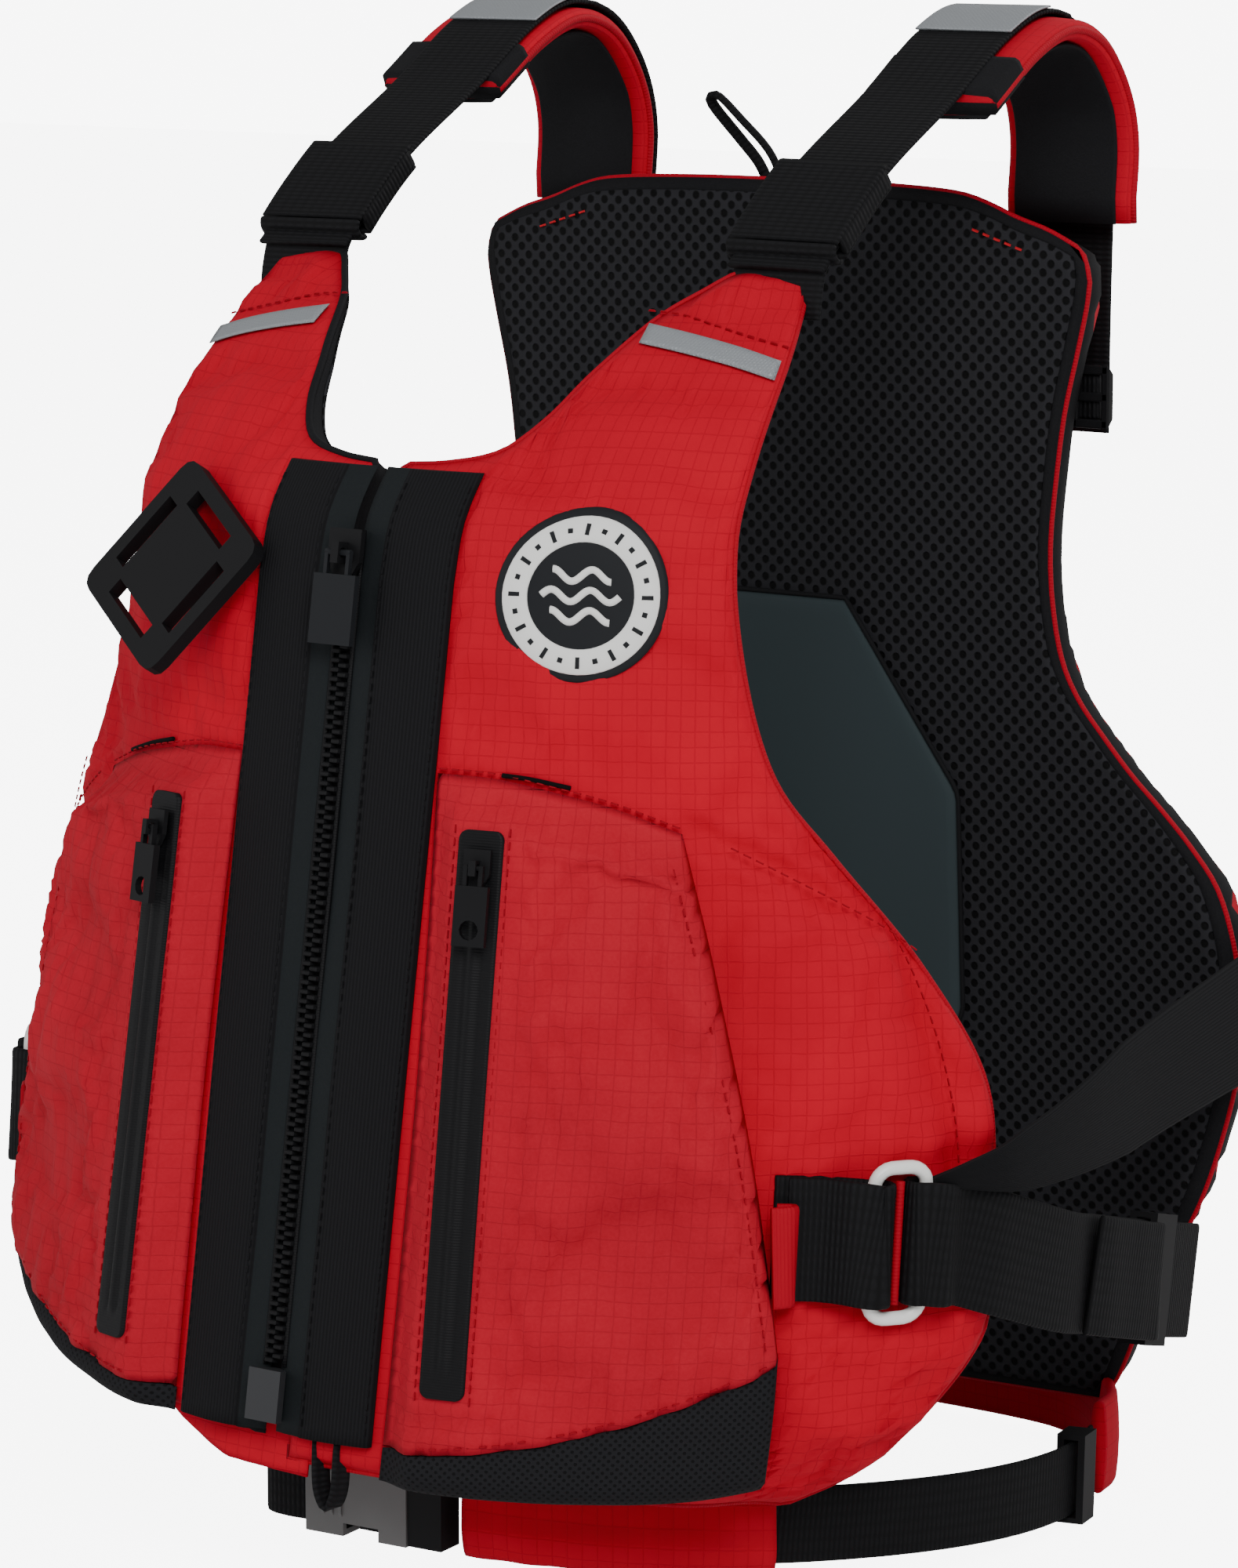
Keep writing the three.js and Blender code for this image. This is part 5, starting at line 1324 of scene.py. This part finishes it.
def build_side_belt(name, side):
    def on(degrees, z, lift):
        return front_points(side, degrees, z, lift)

    turn_radius = RING_ROD * math.sqrt(0.5) + 2.2
    per_mm = 2 / float(np.linalg.norm(on(RING_ANGLE + 1, RING_Z,
                                         RING_LIFT) - on(RING_ANGLE - 1, RING_Z, RING_LIFT)))
    upright = (RING_WIDTH - RING_ROD) / 2 * per_mm

    def turn(way):
        return [on(RING_ANGLE - way * upright + way * math.cos(a) * turn_radius * per_mm, RING_Z,
                   RING_LIFT + math.sin(a) * turn_radius) for a in np.radians([-90, -60, -30, 0, 30, 60,
                                                                               90])]

    low = RING_LIFT - turn_radius
    rise = rise_at(side, RING_ANGLE, RING_Z)
    front = resample([on(45.6, 134, low + 0.4), on(50.5, 133, low)], 8, smooth=False)[:-1].tolist()
    front += [p.tolist() for p in turn(1)] + [on(52.5, 132.6, RING_LIFT + turn_radius - 0.6).tolist(),
                                              on(50, 133, 5.6).tolist(), on(46.8, 133.6, 4.6).tolist()]
    belt = strap(f"side_belt_{name}_webbing", resample(front, 60), SIDE_WEBBING, WEBBING_THICK, "webbing",
                 across=rise)
    own([belt], replaces=(f"side_belt_{name}",))

    def at(x, y, z):
        return np.array([side * x, y, z], float)

    rear = [on(64, 128, low)] + turn(-1) + [on(61.5, 129.6, RING_LIFT + turn_radius - 0.8),
                                            on(64, 128, 6.2),
                                            on(69, 122, 5), at(203, -36, 110), at(199, -12, 103.5),
                                            at(195, 12, 97),
                                            at(191, 37, 90.5), at(187, 62, 84), at(183, 86, 78)]
    tail = strap(f"side_tail_{name}_webbing", resample(rear, 130), SIDE_WEBBING, WEBBING_THICK, "webbing",
                 across=rise)
    own([tail], replaces=(f"side_tail_{name}",))

    wing_line = resample([on(60.0, 150.5, 9.5), on(64, 151, 9), on(69, 152.5, 8.5), at(206, -30, 157),
                          at(202, 30, 165), at(197.5, BACK_OUTER - 8, 176)], 60)
    narrow = np.interp(np.linspace(0, 1, 61), [0, 0.16, 0.45, 1], [0.06, 0.45, 0.85, 1.05])
    wing = strap(f"side_wing_{name}_cloth", wing_line, 46, 2.2, "band_cloth", sag=narrow, crown=0.8)
    own([wing], replaces=(f"side_wing_{name}",))

    middle = on(RING_ANGLE, RING_Z, RING_LIFT)
    ahead = on(RING_ANGLE + 1, RING_Z, RING_LIFT) - on(RING_ANGLE - 1, RING_Z, RING_LIFT)
    ahead /= np.linalg.norm(ahead)
    half_w, half_h, bend = (RING_WIDTH - RING_ROD) / 2 + 1.0, (RING_HEIGHT - RING_ROD) / 2 + 0.4, 6.0
    corners = []
    for cx, cz, first in ((half_w - bend, half_h - bend, 0), (-(half_w - bend), half_h - bend, 90),
                          (-(half_w - bend), -(half_h - bend), 180),
                          (half_w - bend, -(half_h - bend), 270)):
        for a in np.radians(np.linspace(first, first + 90, 7)):
            corners.append(middle + ahead * (cx + bend * math.cos(a)) + rise * (cz + bend * math.sin(a)))
    ring = tube(f"side_ring_{name}_frame", resample(corners + corners[:1], 72, smooth=False)[:-1], 2.3,
                "white_plastic",
                closed=True, sides=12)
    own([ring], replaces=(f"side_ring_{name}",))
    cord = [middle + rise * t for t in (-20, -10, 0, 10, 20)]
    own([tube(f"side_ring_{name}_cord", resample(cord, 12), 1.5, "red_binding", sides=8)])

    dress_node(f"side_adjuster_{name}", "black_plastic", 1.2, 3)
    slack = [at(194.2, 32, 91.8), at(199.5, 34, 91.0), at(201.5, 22, 94.2), at(202.5, 8, 98.0),
             at(203.5, -6, 101.8),
             at(203.0, -16, 104.5)]
    own([strap(f"side_slack_{name}", resample(slack, 40), SIDE_WEBBING, WEBBING_THICK, "webbing",
               across=rise)])
    tag_line = resample([on(45.9, 129, 5.6), on(47.3, 129, 7.0), on(46.8, 129, 9.6), on(45.2, 129, 10.8)],
                        14)
    own([strap(f"side_tag_{name}", tag_line, 33, 2.2, "red_binding", across=rise)])


class BuildSideBelts(bpy.types.Operator):
    """Builds the side belts with their rings, adjusters and cloth wings"""
    bl_idname = "life_jacket.side_belts"
    bl_label = "Side Belts"

    def execute(self, context):
        for name, side in SIDES:
            build_side_belt(name, side)
        return {"FINISHED"}


# ---- Waist belt ---------------------------------------------------------------------------
WAIST_RADIUS, WAIST_FLARE, WAIST_TUCK, WAIST_TUCK_RISE = 161, 8, 8, 22
ADJUSTER_ANGLE, SLEEVE_FROM, RIGHT_SLEEVE_FROM, SLEEVE_TO = 104, 17, 26, 53
BUCKLE_Z, BUCKLE_ANGLE, BELT_LOWEST = 33, 3.5, 15.5


def tuck_share(side, degrees):
    if side > 0:
        return np.zeros_like(degrees)
    away = 1 - smoothstep(SLEEVE_TO, ADJUSTER_ANGLE - 8, degrees)
    return smoothstep(8, RIGHT_SLEEVE_FROM - 4, degrees) * away


def waist_points(side, degrees, lift=0.0, rise=0.0):
    degrees = np.asarray(degrees, float)
    share = tuck_share(side, degrees)
    turned = np.maximum(degrees, SLEEVE_FROM)
    z = BUCKLE_Z + (turned - SLEEVE_FROM) / (ADJUSTER_ANGLE - SLEEVE_FROM) * (BELT_LOWEST - BUCKLE_Z)
    z = z + WAIST_TUCK_RISE * share + rise
    radius = WAIST_RADIUS + WAIST_FLARE * smoothstep(60, ADJUSTER_ANGLE,
                                                     degrees) - WAIST_TUCK * share + lift
    angle = np.radians(degrees)
    return np.stack([side * radius * np.sin(angle), -radius * np.cos(angle), z], axis=-1)


def build_waist_belt(name, side, settings):
    start = 25 if side > 0 else 14.5
    belt = strap(f"waist_belt_{name}_webbing", waist_points(side, np.linspace(start, 112, 90)),
                 WAIST_WEBBING, WEBBING_THICK, "webbing")
    own([belt], replaces=(f"waist_belt_{name}",))
    mouth = SLEEVE_FROM if side > 0 else RIGHT_SLEEVE_FROM
    stations = np.linspace(mouth, SLEEVE_TO, 44)
    turn = np.linspace(0, 2 * math.pi, 30, endpoint=False)
    rings, uv = [], []
    for i, degrees in enumerate(stations):
        share = i / (len(stations) - 1)
        gather = 1 + 0.010 * math.sin(share * 38) * settings.wrinkle
        for a in turn:
            fat = 5.6 + 1.2 * noise.noise(Vector((degrees / 5, a, 61.0 + side))) * settings.wrinkle
            tall = 17.0 * gather + 0.4 * noise.noise(Vector((degrees / 9, a * 2, 64.0)))
            power = 0.72
            c, s = math.cos(a), math.sin(a)
            lift = fat * math.copysign(abs(c) ** power, c)
            up = tall * math.copysign(abs(s) ** power, s)
            rings.append(waist_points(side, degrees, lift + 0.6, up))
            uv.append((a * 0.012, degrees * 2.8 * MM))
    count = len(turn)
    faces = [(i * count + k, i * count + (k + 1) % count, (i + 1) * count + (k + 1) % count,
              (i + 1) * count + k)
             for i in range(len(stations) - 1) for k in range(count)]
    faces += [tuple(range(count))[::-1], tuple((len(stations) - 1) * count + k for k in range(count))]
    points = np.array(rings)
    sleeve = new_mesh(f"waist_sleeve_{name}_cloth", points, outward(points, faces), "red_ripstop", uv)
    own([sleeve], replaces=(f"waist_sleeve_{name}",))
    dress_node(f"waist_adjuster_{name}", "black_plastic", 1.0, 3)

    outside, height = BACK_OUTER + 3, 17.5
    route = resample([(side * x, y, z) for x, y, z in
                      ((0.4, outside, height), (80, outside, height), (112, outside - 7, height),
                       (134, outside - 26, height), (152, 86, height), (WAIST_RADIUS - 4, 68, height))], 60)
    wing = strap(f"belt_wing_{name}_cloth", route, 33, 3.6, "red_ripstop", crown=1.1)
    own([wing], replaces=(f"belt_wing_{name}",))


class BuildWaistBelt(bpy.types.Operator):
    """Builds the waist belt, its padded sleeves and wings, and finishes the buckle"""
    bl_idname = "life_jacket.waist_belt"
    bl_label = "Waist Belt"

    def execute(self, context):
        for name, side in SIDES:
            build_waist_belt(name, side, context.scene.jacket_cloth)
        dress_node("buckle_female", "grey_plastic", 1.6, 3)
        dress_node("buckle_male", "black_plastic", 1.0, 3)
        seat = waist_points(1, BUCKLE_ANGLE)
        seat[2] = BUCKLE_Z
        turn = math.radians(BUCKLE_ANGLE)
        along = np.array([math.cos(turn), math.sin(turn), 0])
        face = np.array([math.sin(turn), -math.cos(turn), 0])
        stub = [seat - along * 17 + face * 1.0, seat - along * 27 + face * 2.0,
                seat - along * 36 + face * 1.0,
                seat - along * 40 - face * 2.5, seat - along * 36 - face * 4.5,
                seat - along * 22 - face * 3.5]
        own([strap("buckle_webbing", resample(stub, 40), WAIST_WEBBING, WEBBING_THICK, "webbing")],
            body="buckle_female")
        rib = [(seat + along * t + face * 6.0, np.array([0, 0, 1.0]), face) for t in (-13, -9.5, -6)]
        own([blocks("buckle_grip", rib, (20, 1.6, 1.4), "grey_plastic")], body="buckle_female")
        return {"FINISHED"}


# ---- Stage --------------------------------------------------------------------------------
CAMERA_TURN, CAMERA_TILT, CAMERA_REACH = 35, 9.578, 1.982  # degrees, degrees, metres
CAMERA_HEIGHT = 0.248
LENS, SENSOR = 130.25, 36
BACKDROP_GLOW, FLOOR_GLOW, ROOM_LIGHT = 8.0, 7.0, 0.42


class SetStage(bpy.types.Operator):
    """Adds the pale floor, the soft studio light and the camera"""
    bl_idname = "life_jacket.stage"
    bl_label = "Stage"

    def execute(self, context):
        pale = bpy.data.materials.new("pale_floor")
        pale.use_nodes = True
        shader = pale.node_tree.nodes["Principled BSDF"]
        shader.inputs["Base Color"].default_value = (0.9, 0.9, 0.9, 1)
        shader.inputs["Roughness"].default_value = 0.9
        shader.inputs["Specular IOR Level"].default_value = 0.0
        shader.inputs["Emission Color"].default_value = (1, 1, 1, 1)
        seen = pale.node_tree.nodes.new("ShaderNodeLightPath")
        glow = calc(pale.node_tree, "MULTIPLY", seen.outputs["Is Camera Ray"], FLOOR_GLOW)
        pale.node_tree.links.new(glow, shader.inputs["Emission Strength"])
        bpy.ops.mesh.primitive_plane_add(size=14, location=(0, 0, -0.001))
        floor = context.object
        floor.name = "floor"
        floor.data.materials.append(pale)
        world = bpy.data.worlds.new("Studio")
        world.use_nodes = True
        world.node_tree.nodes["Background"].inputs[0].default_value = (1.0, 1.0, 1.0, 1)
        world.node_tree.nodes["Background"].inputs[1].default_value = ROOM_LIGHT
        tree = world.node_tree
        backdrop = tree.nodes.new("ShaderNodeBackground")
        backdrop.inputs[1].default_value = BACKDROP_GLOW
        backdrop.inputs[0].default_value = (1, 1, 1, 1)
        choose = tree.nodes.new("ShaderNodeMixShader")
        seen = tree.nodes.new("ShaderNodeLightPath")
        tree.links.new(seen.outputs["Is Camera Ray"], choose.inputs[0])
        tree.links.new(tree.nodes["Background"].outputs[0], choose.inputs[1])
        tree.links.new(backdrop.outputs[0], choose.inputs[2])
        tree.links.new(choose.outputs[0], tree.nodes["World Output"].inputs["Surface"])
        context.scene.world = world
        target = Vector((0, SHIFT[1] * MM, CAMERA_HEIGHT))
        for name, place, size, power, tint in (
                ("key_light", (1.5, -1.7, 1.9), 1.4, 60, (1, 1, 1)),
                ("fill_light", (-1.9, -1.6, 1.0), 2.0, 18, (1, 1, 1)),
                ("rim_light", (0.6, 2.0, 1.8), 1.6, 24, (1, 1, 1))):
            lamp = bpy.data.lights.new(name, "AREA")
            lamp.shape = "SQUARE"
            lamp.size = size
            lamp.energy = power
            lamp.color = tint
            thing = bpy.data.objects.new(name, lamp)
            thing.location = Vector(place)
            thing.rotation_euler = (target - thing.location).to_track_quat("-Z", "Y").to_euler()
            context.scene.collection.objects.link(thing)
        lens = bpy.data.cameras.new("camera")
        lens.lens = LENS
        lens.sensor_fit = "VERTICAL"
        lens.sensor_height = SENSOR
        camera = bpy.data.objects.new("camera", lens)
        turn, tilt = math.radians(CAMERA_TURN), math.radians(CAMERA_TILT)
        reach = Vector((math.sin(turn) * math.cos(tilt), -math.cos(turn) * math.cos(tilt), math.sin(tilt)))
        camera.location = target + reach * CAMERA_REACH
        camera.rotation_euler = (target - camera.location).to_track_quat("-Z", "Y").to_euler()
        context.scene.collection.objects.link(camera)
        context.scene.camera = camera
        return {"FINISHED"}


class MakeMaterials(bpy.types.Operator):
    """Makes the jacket's cloth, webbing and plastic materials"""
    bl_idname = "life_jacket.materials"
    bl_label = "Materials"

    def execute(self, context):
        build_materials(context.scene.jacket_colors)
        return {"FINISHED"}


class SwellPadding(bpy.types.Operator):
    """Swells the padded pieces with a cloth simulation"""
    bl_idname = "life_jacket.swell"
    bl_label = "Swell Padding"

    def execute(self, context):
        puff(SOFT)
        return {"FINISHED"}


class JacketPanel(bpy.types.Panel):
    """Lists the steps that build the jacket"""
    bl_idname = "VIEW3D_PT_life_jacket"
    bl_label = "Life Jacket"
    bl_space_type = "VIEW_3D"
    bl_region_type = "UI"
    bl_category = "Life Jacket"

    def draw(self, context):
        for settings in (context.scene.jacket_cloth, context.scene.jacket_colors):
            for label in settings.bl_rna.properties.keys():
                if label not in ("rna_type", "name"):
                    self.layout.prop(settings, label)
        for step in STEPS:
            self.layout.operator(step.bl_idname)


STEPS = (MakeMaterials, BuildFrontPanels, BuildZip, BuildPockets, BuildChestTrim, BuildBackPanel,
         BuildShoulders,
         BuildSideBelts, BuildWaistBelt, SwellPadding, SetStage)
CLASSES = (JacketCloth, JacketColors, *STEPS, JacketPanel)


def register():
    for cls in CLASSES:
        bpy.utils.register_class(cls)
    bpy.types.Scene.jacket_cloth = bpy.props.PointerProperty(type=JacketCloth)
    bpy.types.Scene.jacket_colors = bpy.props.PointerProperty(type=JacketColors)


def unregister():
    del bpy.types.Scene.jacket_colors
    del bpy.types.Scene.jacket_cloth
    for cls in reversed(CLASSES):
        bpy.utils.unregister_class(cls)


def main():
    register()
    for step in STEPS:
        group, action = step.bl_idname.split(".")
        getattr(getattr(bpy.ops, group), action)()


if __name__ == "__main__":
    main()
